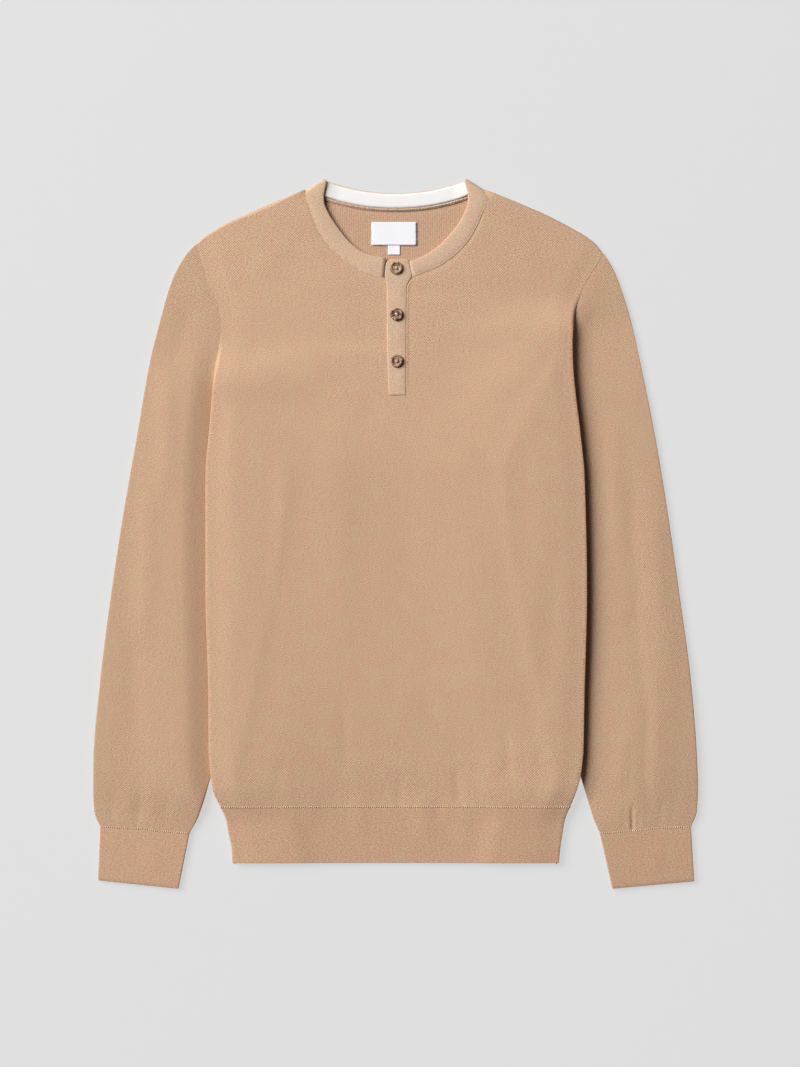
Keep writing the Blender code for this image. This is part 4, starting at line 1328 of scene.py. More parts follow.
def place_mesh(name: str, shape: BMesh, *materials: Material) -> Object:
    """Turn a finished bmesh into an object at the origin.

    Args:
        name: the piece's name.
        shape: its mesh, freed here.
        materials: its finishes in slot order.

    Returns:
        The object.
    """
    mesh = bpy.data.meshes.new(name)
    shape.to_mesh(mesh)
    shape.free()
    for material in materials:
        mesh.materials.append(material)
    mesh.shade_smooth()
    piece = bpy.data.objects.new(name, mesh)
    bpy.context.scene.collection.objects.link(piece)
    return piece


def knit_shell(points: Array, knit: Array | None = None, closed: bool = False, flip: bool = False) -> BMesh:
    """A sheet of knit through a grid of points, its UV map in metres of cloth.

    Args:
        points: rows of columns of (x, y, z) in millimetres, the first row at the top.
        knit: (u, v) of each point, in millimetres of cloth, or None where the cloth lies flat.
        closed: whether the last column meets the first, as round a tube.
        flip: whether the grid runs the other way round, so that its faces are turned.

    Returns:
        The bmesh.
    """
    rows, columns = points.shape[:2]
    shell = bmesh.new()
    bmesh.ops.create_grid(shell, x_segments=columns - 1, y_segments=rows - 1, size=1)
    shell.verts.index_update()
    places = points[::-1].reshape(-1, 3) * MM
    cloth = (points[..., :2] if knit is None else knit)[::-1].reshape(-1, 2) * MM
    for vertex, place in zip(shell.verts, places):
        vertex.co = place
    layer = shell.loops.layers.uv.verify()
    for face in shell.faces:
        for loop in face.loops:
            loop[layer].uv = cloth[loop.vert.index]
    if closed:
        bmesh.ops.remove_doubles(shell, verts=shell.verts, dist=1e-6)
    if flip:
        bmesh.ops.reverse_faces(shell, faces=shell.faces)
    return shell


def resample(points: Array, pitch: float) -> tuple[Array, Array]:
    """Even stations along a line of points.

    Args:
        points: the line's (x, y, z).
        pitch: distance between stations.

    Returns:
        Their places and the line's unit direction at each.
    """
    legs = np.linalg.norm(np.diff(points, axis=0), axis=1)
    keep = np.concatenate(([True], legs > 1e-9))
    points = points[keep]
    run = run_along(points)
    at = np.arange(0.5 * pitch, run[-1], pitch)
    places, ahead, behind = (np.column_stack([np.interp(spots, run, points[:, axis]) for axis in range(3)])
                             for spots in (at, at + 0.5, at - 0.5))
    direction = ahead - behind
    return places, direction / np.linalg.norm(direction, axis=1)[:, None]


@dataclass(frozen=True)
class LinkRow:
    """A row of linking stitches over a seam: small slanting loops of yarn, given by half length and width."""

    name: str
    pitch: float = 2.2
    length: float = 1.15
    width: float = 0.74
    thickness: float = 0.8
    slant: float = 26.0
    proud: float = 0.15
    crossed: bool = True

    def build(self, line: Array, below: Array, material: Material) -> Object:
        """Make the row.

        Args:
            line: the seam's (x, y, z) points.
            below: direction from the seam towards the band, in plan or for each point.
            material: the yarn.

        Returns:
            The piece.
        """
        places, along = resample(line, self.pitch)
        if below.ndim == 2:
            below = below[np.linspace(0, len(below) - 1, len(places)).round().astype(int)]
        down = np.broadcast_to(below, places.shape)
        row = bmesh.new()
        for number, (place, tangent, across) in enumerate(zip(places, along, down)):
            normal = Vector(np.cross(across, tangent)).normalized()
            first = Vector(tangent).normalized()
            second = normal.cross(first)
            turn = math.radians(-self.slant if self.crossed and number % 2 == 0 else self.slant)
            longways = second * math.cos(turn) + first * math.sin(turn)
            sideways = normal.cross(longways)
            basis = Matrix((longways * self.length * MM, sideways * self.width * MM,
                            normal * self.width * self.thickness * MM)).transposed().to_4x4()
            basis.translation = (Vector(place) + normal * self.proud) * MM
            bmesh.ops.create_icosphere(row, subdivisions=1, radius=1.0, matrix=basis)
        bmesh.ops.recalc_face_normals(row, faces=row.faces)
        return place_mesh(self.name, row, material)


def settle(piece: Object, slot: str, *nodes: str) -> Object:
    """Ride a piece on the sweater, and hide the CAD nodes that it stands for.

    Args:
        piece: the piece.
        slot: not used.
        nodes: CAD nodes that it replaces.

    Returns:
        The piece.
    """
    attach(piece, BODY_NAME)
    if nodes:
        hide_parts(*nodes)
    LOG.info("%s made, %d faces", piece.name, len(piece.data.polygons))
    return piece


def cloth_piece(name: str, shell: BMesh, wall: float, slot: str, node: str, *materials: Material) -> Object:
    """Make a sheet a piece: give it its thickness inwards and settle it.

    Args:
        name: the piece's name.
        shell: the sheet, freed here.
        wall: thickness in millimetres.
        slot: handed on to settle, which does not use it.
        node: CAD node that it replaces.
        materials: the finish of its outer face, and of its inner face where that differs.

    Returns:
        The piece.
    """
    piece = place_mesh(name, shell, *materials)
    modifier = piece.modifiers.new("Wall", "SOLIDIFY")
    modifier.thickness = wall * MM
    modifier.offset = -1
    modifier.material_offset = len(materials) - 1
    return settle(piece, slot, node)


# ---- pieces

@dataclass
class Body:
    """The front and back panels with their hem bands and the linking stitches between."""

    form: BodyForm
    wardrobe: Wardrobe

    def build(self) -> None:
        """Make the four sheets and the two rows of stitches."""
        for layer in Layer:
            grid = PanelGrid(self.form, layer)
            points, knit = grid.panel()
            hem_points, hem_knit = grid.hem()
            outer, inner = self.wardrobe.knit, self.wardrobe.wrong_side
            if layer is Layer.BACK:
                outer, inner = inner, outer
            panel = knit_shell(points, knit)
            if layer is Layer.FRONT:
                self._open_placket(panel)
            piece = cloth_piece(layer.label + "_panel", panel, WALL, "knit", layer.label, outer, inner)
            band = cloth_piece(layer.label + "_hem_band", knit_shell(hem_points, hem_knit), WALL, "band_knit",
                               "hem_band_" + layer.label, self.wardrobe.band)
            seam = (points[-1] + hem_points[0]) / 2
            stitches = LinkRow(layer.label + "_hem_links").build(seam, TOWARDS_HEM, self.wardrobe.link)
            settle(stitches, "band_knit")

    def _open_placket(self, panel: BMesh) -> None:
        """Cut the slot that the placket closes out of the front."""
        left, right, bottom = self.form.pattern.slot
        for point, normal in (((left, 0), (1, 0, 0)), ((right, 0), (1, 0, 0)), ((0, bottom), (0, 1, 0))):
            bmesh.ops.bisect_plane(panel, geom=[*panel.verts, *panel.edges, *panel.faces], dist=1e-7,
                                   plane_co=(point[0] * MM, point[1] * MM, 0), plane_no=normal)
        inside = [face for face in panel.faces if left * MM < face.calc_center_median().x < right * MM
                  and face.calc_center_median().y > bottom * MM]
        bmesh.ops.delete(panel, geom=inside, context="FACES")


@dataclass
class Sleeves:
    """The two sleeves and their cuffs."""

    form: BodyForm
    wardrobe: Wardrobe
    creases: dict = field(default_factory=lambda: {
        Side.LEFT: crease_rows(
            (-276, -284, -234, -288, 6, -0.35), (-286, -262, -289, -298, 3.8, -0.2),
            (-262, -268, -262, -302, 3.4, -0.3), (-231, -262, -236, -303, 3.6, -0.22),
            (-275, -250, -274, -296, 7, 0.3), (-246, -246, -249, -296, 7, 0.3),
            (-252, 60, -262, -120, 11, 0.8), (-228, 176, -240, 40, 9, 0.6),
            (-268, -90, -262, -214, 9, -0.5), (-212, 240, -226, 168, 9, -0.5),
            (-246, -346, -250, -318, 9, 0.4)),
        Side.RIGHT: crease_rows(
            (241, 64, 248, -60, 8, -0.5), (248, -40, 252, -170, 8, -0.65),
            (252, -150, 260, -290, 7, -0.65), (242.2, -278, 242.2, -305, 1.6, -1.5),
            (249, -284, 248, -303, 2.4, -0.35), (234, -278, 233, -303, 3, -0.25),
            (272, -270, 270, -300, 3.8, -0.25), (286, -264, 284, -298, 4.4, -0.2),
            (268, 30, 278, -190, 12, 0.5), (222, 120, 232, -20, 9, 0.5),
            (236, -200, 230, -262, 8, 0.6), (262, -346, 262, -318, 9, 0.4))})
    # Which rows of creases the underside repeats, and how much wider and shallower they are there.
    under_rows: tuple[int, int] = (6, 9)
    under_width: float = 1.4
    under_height: float = 0.5
    press: dict = field(default_factory=lambda: {Side.LEFT: Press(2.9, -3.0, 23.0, 3.8, 62.0, 0.6),
                                                 Side.RIGHT: Press(3.2, 20.0, 74.0, 0.4, 30.0, 0.0)})

    def build(self) -> None:
        """Make both sleeves, both cuffs and their stitches."""
        for side in Side:
            first, last = self.under_rows
            under = tuple(
                Crease(c.start, c.end, c.width * self.under_width, abs(c.height) * self.under_height)
                for c in self.creases[side][first:last])
            grid = SleeveGrid(self.form, side, self.creases[side], under, self.press[side])
            flip = side is Side.RIGHT
            points, knit = grid.sleeve()
            cuff_points, cuff_knit = grid.cuff()
            tube_shell = knit_shell(points, knit, True, flip)
            # The sleeve wears the darker copy of the body knit, which is painted shade.
            tube = cloth_piece(side.wearer + "_sleeve_tube", tube_shell, WALL, "knit",
                               "sleeve_" + side.wearer, self.wardrobe.sleeve_knit_shaded, self.wardrobe.wrong_side)
            cuff_shell = knit_shell(cuff_points, cuff_knit, True, flip)
            cuff = cloth_piece(side.wearer + "_cuff_band", cuff_shell, WALL, "band_knit",
                               "cuff_" + side.wearer, self.wardrobe.band)
            seam = cuff_points[0]
            down = cuff_points[4] - seam
            down = down / np.linalg.norm(down, axis=1)[:, None]
            if flip:
                seam, down = seam[::-1], down[::-1]
            links = LinkRow(side.wearer + "_cuff_links").build(seam, down, self.wardrobe.link)
            settle(links, "band_knit")


@dataclass
class Neck:
    """The neckband, one folded strip right round the neck, with the tape inside it."""

    form: BodyForm
    wardrobe: Wardrobe
    arm_steps: int = 34
    arm_end: float = 0.075
    turn_steps: int = 10
    back_steps: int = 44
    edge_radius: float = 1.15
    seam_radius: float = 0.5
    tip_radius: float = 3.2
    overlap: float = 0.5
    tip_overlap: float = 1.3
    tip_share: float = 0.25
    crown: float = 0.35
    flat_shares: Floats = (0.0, 0.06, 0.14, 0.25, 0.4, 0.55, 0.7, 0.85, 1.0)
    sunk: float = 0.75
    sunk_width: float = 3.0
    back_taper: float = 4.5
    wall: float = 1.05
    proud: float = 0.35
    # The tape: its far and near rim across the band, and the middle and reach from which its edges sink.
    tape_across: Floats = (0.94, 0.175)
    tape_middle: Floats = (0.565, 0.375)
    tape_rows: int = 8
    tape_top: float = 0.62
    tape_edge: float = 0.2
    tape_swell: float = 0.05
    tape_ripple: float = 3.7
    tape_rise: float = 1.1
    tape_turn: Span = (58.0, 14.0)
    tape_half: float = 75.0
    tape_steps: int = 77
    tape_wall: float = 0.5
    # The rope of stitches along the back seam: where it runs across the band, and from and to which share.
    rope_across: float = 0.1
    rope_ends: Floats = (0.05, 0.95)
    end_reach: dict = field(default_factory=lambda: {Side.LEFT: (0.4, 1.3), Side.RIGHT: (-0.2, -0.2)})

    def _arm(self, side: Side) -> list[Station]:
        """Stations of a front arm from the placket to the neck tip: seam point, inner point and up."""
        pattern = self.form.pattern
        shares = np.linspace(1, self.arm_end, self.arm_steps)
        seams = pattern.neckline[side].at(shares)
        inners = pattern.band_inner[side].at(shares)
        seams[0, 0] += self.end_reach[side][0]
        inners[0, 0] += self.end_reach[side][1]
        stations = []
        for seam, inner, share in zip(seams, inners, shares):
            near_tip = float(smoothstep((self.tip_share - share) / self.tip_share))
            overlap = self.overlap + self.tip_overlap * near_tip
            start = blend(seam, inner, -overlap / np.hypot(*(inner - seam)))
            z = float(max(self.form.top(Layer.FRONT, *seam), self.form.top(Layer.FRONT, *start))) + self.proud
            up = np.array((0.0, 0.0, 1.0))
            stations.append((np.array((*start, z)), np.array((*inner, z)), up, self.edge_radius))
        return stations

    def _turn(self, side: Side) -> list[Station]:
        """Stations round the neck tip, where the band folds over from the front to the back."""
        outer, inner = (np.array(point) for point in self.form.pattern.neck_tip[side])
        run = (inner - outer) / np.hypot(*(inner - outer))
        out = np.array((-run[1], run[0]))
        out = out if out[1] > 0 else -out
        height = float(self.form.top(Layer.FRONT, *outer)) + self.proud
        radius = height / 2
        widest = (abs(self._arm(side)[-1][0][0]) - abs((outer - out * radius)[0])) / abs(run[0])
        stations = []
        for angle in np.linspace(0, math.pi, self.turn_steps):
            reach = radius * (math.sin(angle) - 1)
            z = radius + radius * math.cos(angle)
            taper = self.back_taper * (1 - math.cos(angle)) / 2
            up = np.array((*(out * math.sin(angle)), math.cos(angle)))
            corner = blend(self.edge_radius, self.tip_radius, math.sin(angle))
            lap = widest * (1 + math.cos(angle)) / 2
            stations.append((np.array((*(outer + run * (taper - lap) + out * reach), z)),
                             np.array((*(inner + out * reach), z)), up, corner))
        return stations

    def _back_place(self, share: float, across: float) -> Array:
        """Plan point of the back stretch: across is 0 at its seam, 1 at its rim."""
        pattern = self.form.pattern
        seam, rim = pattern.back_neckline.at(share), pattern.back_rim.at(share)
        return blend(seam, rim, blend(-self.overlap / np.hypot(*(rim - seam)), 1.0, across))

    def stations(self) -> list[Station]:
        """Every station of the band, from the left placket end round the back to the right one."""
        down = np.array((0.0, 0.0, -1.0))
        back = []
        for share in np.linspace(0, 1, self.back_steps + 1)[2:-2]:
            seam, rim = (np.array((*self._back_place(share, across), 0.0)) for across in (0.0, 1.0))
            back.append((seam, rim, down, self.edge_radius))
        right = self._arm(Side.RIGHT) + self._turn(Side.RIGHT)
        return self._arm(Side.LEFT) + self._turn(Side.LEFT) + back + right[::-1]

    def _section(self, seam: Array, inner: Array, up: Array, corner: float) -> tuple[Array, Array]:
        """One closed section of the folded strip.

        Args:
            seam: point on its outer face at the seam.
            inner: point on its outer face at the neck opening.
            up: unit direction out of its outer face.
            corner: radius of its fold at the neck opening.

        Returns:
            The section's points, closed, and the cloth length round it.
        """
        width = float(np.linalg.norm(inner - seam))
        across = (inner - seam) / width
        hem, half = self.seam_radius, BAND_WALL / 2
        angles = np.radians((60, 30, 0, -30, -60))
        flat = hem + (width - hem - corner) * np.array(self.flat_shares)
        swell = self.crown * np.sin(math.pi * (flat - hem) / (width - hem - corner))
        sunk = self.sunk * self.proud * (1 - smoothstep((flat - hem) / self.sunk_width))
        top = list(zip(flat, max(0.0, up[2]) * (swell - sunk)))
        far = [(width - corner + corner * math.cos(a), half * math.sin(a) - half) for a in angles]
        under = [(at, -BAND_WALL) for at in flat[::-1]]
        near = [(hem - hem * math.cos(a), half * math.sin(a) - half) for a in angles[::-1]]
        outline = np.array(top + far + under + near + top[:1])
        points = seam + outline[:, :1] * across + outline[:, 1:] * up
        return points, run_along(outline)

    def build(self) -> None:
        """Make the band and its tape."""
        stations = self.stations()
        sections = [self._section(*station) for station in stations]
        points = np.stack([section[0] for section in sections])
        middles = np.array([(seam + inner) / 2 for seam, inner, _, _ in stations])
        run = run_along(middles)
        knit = np.stack([np.column_stack((around, np.full(len(around), along)))
                         for (_, around), along in zip(sections, run)])
        band = cloth_piece("neck_band_strip", knit_shell(points, knit[..., ::-1], True, True), self.wall,
                           "band_knit", "neckband", self.wardrobe.trim)
        self._tape()

    def _tape_line(self, across: float) -> Array:
        """Plan points along the tape at one place across it, run on straight under the band's arms."""
        line = np.array([self._back_place(share, across) for share in np.linspace(0, 1, 61)])
        line = np.vstack((4 * line[0] - 3 * line[1], line, 4 * line[-1] - 3 * line[-2]))
        x = np.linspace(-self.tape_half, self.tape_half, self.tape_steps)
        return np.column_stack((x, np.interp(x, line[:, 0], line[:, 1])))

    def _tape(self) -> None:
        """Make the tape that covers the inside of the back of the band, just below its rim."""
        top = BAND_WALL + self.tape_top
        middle, reach = self.tape_middle
        rows = []
        for place in np.linspace(*self.tape_across, self.tape_rows):
            edge = self.tape_edge * (abs(place - middle) / reach) ** 6
            plan = self._tape_line(place)
            swell = self.tape_swell * np.sin(plan[:, 0] / self.tape_ripple + 3 * place)
            turned = self.tape_rise * ramp(abs(plan[:, 0]), *self.tape_turn)
            rows.append(np.column_stack((plan, top - edge + swell + turned)))
        piece = cloth_piece("neck_band_tape", knit_shell(np.stack(rows)), self.tape_wall, "white_tape",
                            "neck_tape", self.wardrobe.tape)
        line = np.array([(*self._back_place(share, self.rope_across), BAND_WALL)
                         for share in np.linspace(*self.rope_ends, 90)])
        rope = LinkRow("neck_back_links", pitch=1.5, length=1.3, width=0.8, slant=40.0, proud=0.3,
                       crossed=False)
        settle(rope.build(line, TOWARDS_HEM, self.wardrobe.trim_yarn), "band_knit")


@dataclass
class Placket:
    """The button strip: the under strip in the slot, the upper strip over it, and the ridge it is sewn to."""

    form: BodyForm
    wardrobe: Wardrobe
    left: SmoothLine = SmoothLine(
        (140.6, 141.6, 143.5, 148.3, 197.2, 248.2, 256.4, 261.8, 270.9, 275.9, 278.6, 279.8),
        (-5.6, -6.6, -7.1, -7.3, -8.7, -8.9, -9.5, -11.0, -10.8, -9.4, -7.4, -5.8))
    right: SmoothLine = SmoothLine((140.6, 141.8, 147.2, 197.2, 250.2, 256.9, 262.2, 275.9, 278.0, 279.8),
                                   (9.8, 10.8, 10.8, 11.0, 11.5, 13.6, 16.7, 14.1, 13.4, 12.4))
    ends: Floats = (279.8, 140.6)
    length: float = 139.0
    width: float = 20.0
    proud: float = 0.9
    wall: float = 0.9
    # How far the strip's faces drop at its edges and ends, and along its sewn edge, and over what width.
    edge_drop: Point = (0.75, 1.5)
    end_drop: Point = (0.7, 1.4)
    sewn_drop: Point = (0.3, 7.0)
    creases: tuple[Crease, ...] = crease_rows(
        (-3, 152, 8, 149, 1.6, 0.3), (2, 162, 9, 158, 1.8, 0.25),
        (-6, 200, 6, 196, 5, 0.25), (-4, 246, 8, 242, 6, 0.25))
    under_ends: Floats = (275.8, 140.2)
    under_sides: Floats = (-8.5, 11.0)
    under_steps: tuple[int, int] = (8, 40)
    under_sink: float = 0.7
    under_wall: float = 1.2
    ridge_ends: Floats = (257.6, 144.0)
    # Where the ridge rises at its foot, and falls at its top, and over what lengths.
    ridge_foot: Span = (143.0, 14.0)
    ridge_top: Span = (258.6, 5.0)
    ridge_height: float = 0.34
    ridge_least: float = 0.02
    ridge_steps: int = 70
    # Above this height the ridge leaves the strip's edge.
    ridge_parts: float = 250.0
    ridge_offset: SmoothLine = SmoothLine((140.0, 146.0, 250.0, 254.0, 257.6), (0.75, 0.9, 0.9, 2.4, 5.2))
    ridge_across: Floats = (-0.75, -0.7, -0.5, -0.2, 0.15, 0.6, 1.2, 1.9, 2.6)
    ridge_profile: Floats = (-0.3, 0.35, 0.8, 1.0, 0.93, 0.66, 0.32, 0.08, -0.15)

    def strip_top(self, x, y):
        """Height of the upper strip's face."""
        return self.form.top(Layer.FRONT, 0.0, y) + 0 * x + self.proud

    def build(self) -> None:
        """Make the strips and the ridge."""
        y = blend(*self.ends, graded(self.length, 2.0, (0.25, 0.6, 1.1, 1.8)))
        across = graded(self.width, 1.8, (0.25, 0.7, 1.3))
        left, right = self.left(y)[:, None], self.right(y)[:, None]
        x = blend(left, right, across[None, :])
        rows = np.broadcast_to(y[:, None], x.shape)
        from_edge = np.minimum(x - left, right - x)
        from_end = np.minimum(rows - y[-1], y[0] - rows)
        drops = [drop * (1 - np.sqrt(1 - np.clip(1 - distance / width, 0, 1) ** 2))
                 for distance, (drop, width) in ((from_edge, self.edge_drop), (from_end, self.end_drop))]
        sewn = self.sewn_drop[0] * smoothstep((x - right + self.sewn_drop[1]) / self.sewn_drop[1])
        z = self.strip_top(x, rows) - np.maximum(*drops) - sewn + relief(self.creases, x, rows)
        upper = cloth_piece("placket_upper_strip", knit_shell(np.stack((x, rows, z), axis=-1)), self.wall,
                            "band_knit", "placket_top", self.wardrobe.trim)
        self._under()
        self._ridge()

    def _under(self) -> None:
        """Make the strip that closes the slot from beneath."""
        across, along = self.under_steps
        x, y = np.meshgrid(np.linspace(*self.under_sides, across), np.linspace(*self.under_ends, along))
        z = self.form.top(Layer.FRONT, 0.0, y) - self.under_sink
        piece = cloth_piece("placket_under_strip", knit_shell(np.stack((x, y, z), axis=-1)), self.under_wall,
                            "band_knit", "placket_under", self.wardrobe.trim)

    def _ridge(self) -> None:
        """Make the ridge of knit along the strip's sewn edge, from the neckband seam down."""
        y = np.linspace(*self.ridge_ends, self.ridge_steps)[:, None]
        x = self.right(np.minimum(y, self.ridge_parts)) + self.ridge_offset(y)
        foot, top = self.ridge_foot, self.ridge_top
        size = self.ridge_height * smoothstep((y - foot[0]) / foot[1]) * smoothstep((top[0] - y) / top[1])
        size = size + self.ridge_least
        height = self.form.top(Layer.FRONT, x, y) + size * np.array(self.ridge_profile)
        points = np.stack(np.broadcast_arrays(x + np.array(self.ridge_across), y, height), axis=-1)
        settle(place_mesh("placket_seam_ridge", knit_shell(points), self.wardrobe.knit), "knit")


@dataclass
class Labels:
    """The woven label and the size tag below it, both bare."""

    form: BodyForm
    wardrobe: Wardrobe
    grid: tuple[int, int] = (25, 17)
    # The lower edge's lift, from how far above it and over what length, and its share at the left corner.
    corner_lift: float = 0.25
    lift_from: Span = (6.0, 8.0)
    left_share: float = 0.4
    bow: float = 0.06
    bows: int = 3

    def build(self) -> None:
        """Make the label and the tag."""
        label = self._slip("neck_label_bare", (-24.5, 21.5, 294.3, 317.9), 2.75, 0.5, "label")
        tag = self._slip("neck_size_tag_bare", (-7.7, 4.6, 284.6, 297.4), 2.25, 0.4, "size_tag")

    def _slip(self, name: str, extent: tuple[float, float, float, float], top: float, wall: float,
              node: str) -> Object:
        """Make one slip of tape, its lower corners lifting a little.

        Args:
            name: the piece's name.
            extent: left, right, bottom and top.
            top: height of its face.
            wall: thickness.
            node: CAD node that it stands for.

        Returns:
            The piece.
        """
        left, right, bottom, upper = extent
        x, y = np.meshgrid(np.linspace(left, right, self.grid[0]), np.linspace(upper, bottom, self.grid[1]))
        along = (x - left) / (right - left)
        above, length = self.lift_from
        lift = self.corner_lift * smoothstep((bottom + above - y) / length)
        lift = lift * (self.left_share + (1 - self.left_share) * along ** 2)
        bow = self.bow * np.sin(along * math.pi * self.bows)
        base = self.form.top(Layer.BACK, x, y) - WALL
        shell = knit_shell(np.stack((x, y, base + top + lift + bow), axis=-1))
        return cloth_piece(name, shell, wall, "white_tape", node, self.wardrobe.label)


@dataclass
class Button:
    """A turned four-hole button with a raised rim, sewn on with crossed thread."""

    number: int
    centre: Point
    base: float
    turn: float
    radius: float = 6.5
    height: float = 2.6
    hole_radius: float = 0.8
    hole_offset: float = 1.35
    # Half the section, as shares of the radius and of the height.
    profile: tuple[Point, ...] = (
        (0.0, 0.0), (0.55, 0.0), (0.86, 0.1), (0.96, 0.26), (1.0, 0.48), (0.985, 0.72), (0.93, 0.91),
        (0.85, 1.0), (0.76, 0.99), (0.69, 0.9), (0.63, 0.76), (0.56, 0.68), (0.45, 0.64), (0.0, 0.62))
    thread_radius: float = 0.42
    thread_lifts: Floats = (0.45, 1.0)
    thread_apart: float = 0.3
    thread_steps: int = 6
    # How deep the ends dip into the holes, and from what share of the half length.
    thread_sink: float = 1.2
    thread_dip: float = 0.8
    thread_over: float = 1.05
    thread_gather: float = 0.3
    sides: int = 56
    hole_sides: int = 16

    def build(self, thread: Material) -> None:
        """Make the disc and its thread."""
        finish = HornFinish(f"horn_button_{self.number}", "422a1e", "957259", "c2a084", 0.037 * self.number)
        disc = self._disc(finish.material())
        settle(disc, "horn_button", f"button_{self.number}")
        settle(self._thread(thread), "white_tape")

    def _place(self, shape: BMesh) -> None:
        """Turn a shape made about the origin and set it on the strip."""
        spin = Matrix.Rotation(self.turn, 4, "Z")
        spot = Matrix.Translation(Vector((*self.centre, self.base)) * MM)
        bmesh.ops.transform(shape, matrix=spot @ spin, verts=shape.verts)

    def _disc(self, material: Material) -> Object:
        """Spin the profile, then take the four holes out."""
        disc = bmesh.new()
        points = [disc.verts.new((r * self.radius * MM, 0, h * self.height * MM)) for r, h in self.profile]
        edges = [disc.edges.new(pair) for pair in zip(points, points[1:])]
        bmesh.ops.spin(disc, geom=points + edges, axis=(0, 0, 1), cent=(0, 0, 0), angle=math.tau,
                       steps=self.sides, use_merge=True)
        bmesh.ops.remove_doubles(disc, verts=disc.verts, dist=1e-6)
        bmesh.ops.recalc_face_normals(disc, faces=disc.faces)
        self._place(disc)
        piece = place_mesh(f"placket_button_{self.number}", disc, material)
        holes = bmesh.new()
        for right, up in ((-1, -1), (-1, 1), (1, -1), (1, 1)):
            spot = Matrix.Translation(Vector((right, up, 0)) * self.hole_offset * MM)
            radius = self.hole_radius * MM
            bmesh.ops.create_cone(holes, cap_ends=True, segments=self.hole_sides, radius1=radius,
                                  radius2=radius, depth=3 * self.height * MM, matrix=spot)
        self._place(holes)
        cutter = place_mesh("hole_cutter", holes, material)
        boolean = piece.modifiers.new("Holes", "BOOLEAN")
        boolean.operation = "DIFFERENCE"
        boolean.solver = "EXACT"
        boolean.object = cutter
        drilled = bpy.data.meshes.new_from_object(piece.evaluated_get(bpy.context.evaluated_depsgraph_get()))
        piece.modifiers.clear()
        piece.data = drilled
        drilled.shade_smooth()
        bpy.data.objects.remove(cutter)
        ease = piece.modifiers.new("Edges", "WEIGHTED_NORMAL")
        ease.keep_sharp = True
        return piece

    def _thread(self, material: Material) -> Object:
        """Make the two crossed strands that arch from hole to hole."""
        shape = bmesh.new()
        floor = self.profile[-1][1] * self.height
        reach = self.hole_offset * math.sqrt(2)
        for lift, heading in zip(self.thread_lifts, (math.pi / 4, -math.pi / 4)):
            along = Vector((math.cos(heading), math.sin(heading), 0))
            aside = Vector((-along.y, along.x, 0))
            turn = Vector((0, 0, 1)).rotation_difference(along).to_matrix().to_4x4()
            for lay in (-self.thread_apart, self.thread_apart):
                ring_before = None
                for step in range(2 * self.thread_steps + 1):
                    share = step / self.thread_steps - 1
                    sink = self.thread_sink * max(0.0, abs(share) - self.thread_dip) / (1 - self.thread_dip)
                    z = floor + lift * (1 - share ** 4) - sink
                    gather = 1 - self.thread_gather * abs(share)
                    centre = along * share * reach * self.thread_over + aside * lay * gather
                    spot = Matrix.Translation(Vector((centre.x, centre.y, z)) * MM)
                    ring = bmesh.ops.create_circle(shape, segments=8, radius=self.thread_radius * MM,
                                                   matrix=spot @ turn)
                    edges = list({edge for vertex in ring["verts"] for edge in vertex.link_edges})
                    if ring_before:
                        bmesh.ops.bridge_loops(shape, edges=ring_before + edges)
                    ring_before = edges
        bmesh.ops.holes_fill(shape, edges=shape.edges, sides=8)
        bmesh.ops.recalc_face_normals(shape, faces=shape.faces)
        self._place(shape)
        return place_mesh(f"placket_button_{self.number}_thread", shape, material)


# ---- studio

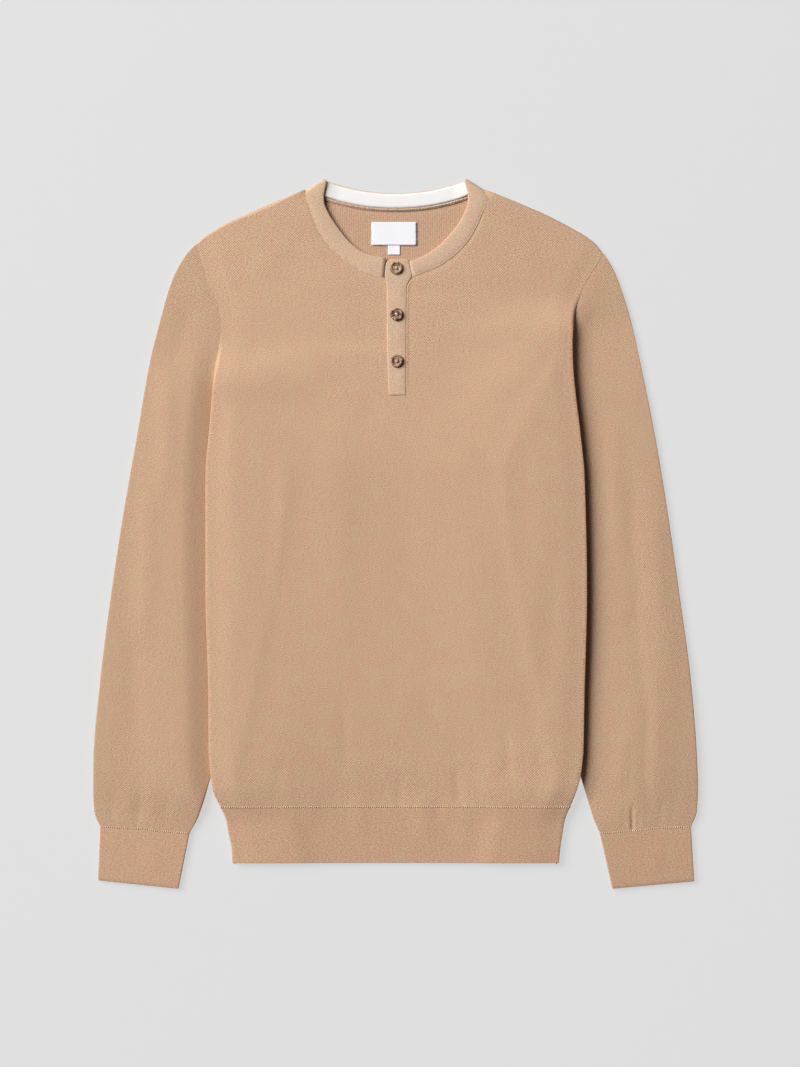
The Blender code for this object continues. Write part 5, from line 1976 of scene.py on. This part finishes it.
@dataclass(frozen=True)
class Studio:
    """The pale floor, a large soft light from the upper left, and the camera straight above."""

    eye: tuple[float, float, float] = (0.0046, -0.00015, 2.406)
    frame_height: float = 1.0883
    sensor: float = 36.0
    light_distance: float = 8.4
    light_elevation: float = 40.0
    light_heading: float = 147.0
    light_size: float = 5.5
    light_power: float = 1078.0
    ambient: float = 0.05
    backdrop: str = "e1e1e1"
    floor_size: float = 30.0
    floor_drop: float = 0.0003
    floor_glow: float = 0.6
    floor_shades: tuple[str, str] = ("6e6e6e", "707070")
    lens_distance: float = 2.4

    def build(self) -> None:
        """Make the floor, the lights and the camera."""
        self._floor()
        self._light()
        self._world()
        self._camera()
        bpy.context.scene.view_settings.view_transform = "Standard"

    def _floor(self) -> None:
        """Lay a floor that glows a little, painted light that keeps the shadows on it light."""
        plane = bmesh.new()
        bmesh.ops.create_grid(plane, x_segments=1, y_segments=1, size=self.floor_size)
        bmesh.ops.translate(plane, verts=plane.verts, vec=(0, 0, -self.floor_drop))
        material, tree, shader = new_material("paper_sweep")
        place = add_node(tree, "TexCoord").outputs["Object"]
        grain = add_node(tree, "TexNoise", {"Scale": 40.0, "Detail": 2.0}, {"Vector": place})
        deep, light = (srgb(shade) for shade in self.floor_shades)
        colour = add_node(tree, "Mix", {6: deep, 7: light}, {0: grain.outputs["Fac"]}, data_type="RGBA")
        feed(tree, shader, {"Roughness": 1.0, "Specular IOR Level": 0.0, "Emission Strength": self.floor_glow,
                            "Emission Color": (1.0, 1.0, 1.0, 1.0)}, {"Base Color": colour.outputs[2]})
        place_mesh("floor", plane, material)

    def _light(self) -> None:
        """Hang the soft light so that it faces the sweater."""
        lamp = bpy.data.lights.new("softbox", "AREA")
        lamp.shape = "SQUARE"
        lamp.size = self.light_size
        lamp.energy = self.light_power
        holder = bpy.data.objects.new("softbox", lamp)
        rise, turn = math.radians(self.light_elevation), math.radians(self.light_heading)
        back = Vector((math.cos(rise) * math.cos(turn), math.cos(rise) * math.sin(turn), math.sin(rise)))
        holder.location = back * self.light_distance
        holder.rotation_euler = back.to_track_quat("Z", "Y").to_euler()
        bpy.context.scene.collection.objects.link(holder)

    def _world(self) -> None:
        """Fill the shadows with a faint even light; the camera itself sees a pale backdrop."""
        world = bpy.data.worlds.new("studio")
        world.use_nodes = True
        tree = world.node_tree
        tree.nodes.clear()
        fill = add_node(tree, "Background", {"Color": (1, 1, 1, 1), "Strength": self.ambient})
        seen = add_node(tree, "Background", {"Color": srgb(self.backdrop), "Strength": 1.0})
        path = add_node(tree, "LightPath")
        mix = add_node(tree, "MixShader", None, {0: path.outputs["Is Camera Ray"], 1: fill, 2: seen})
        add_node(tree, "OutputWorld", None, {0: mix})
        bpy.context.scene.world = world

    def _camera(self) -> None:
        """Set the camera looking straight down, its long side as tall as the photograph's frame."""
        lens = bpy.data.cameras.new("overhead")
        lens.sensor_width = self.sensor
        lens.lens = self.sensor * self.lens_distance / self.frame_height
        holder = bpy.data.objects.new("overhead", lens)
        holder.location = self.eye
        bpy.context.scene.collection.objects.link(holder)
        bpy.context.scene.camera = holder


def main() -> None:
    """Build the studio and every sub-assembly in order."""
    logging.basicConfig(level=logging.INFO, format="%(name)s: %(message)s")
    Studio().build()
    wardrobe = Wardrobe.woven()
    form = BodyForm()
    Sleeves(form, wardrobe).build()
    Body(form, wardrobe).build()
    Neck(form, wardrobe).build()
    placket = Placket(form, wardrobe)
    placket.build()
    Labels(form, wardrobe).build()
    for number, (centre, turn) in enumerate(BUTTONS, 1):
        base = float(placket.strip_top(*centre)) + GAP
        Button(number, centre, base, turn).build(wardrobe.thread)
    LOG.info("sweater finished")


if __name__ == "__main__":
    main()
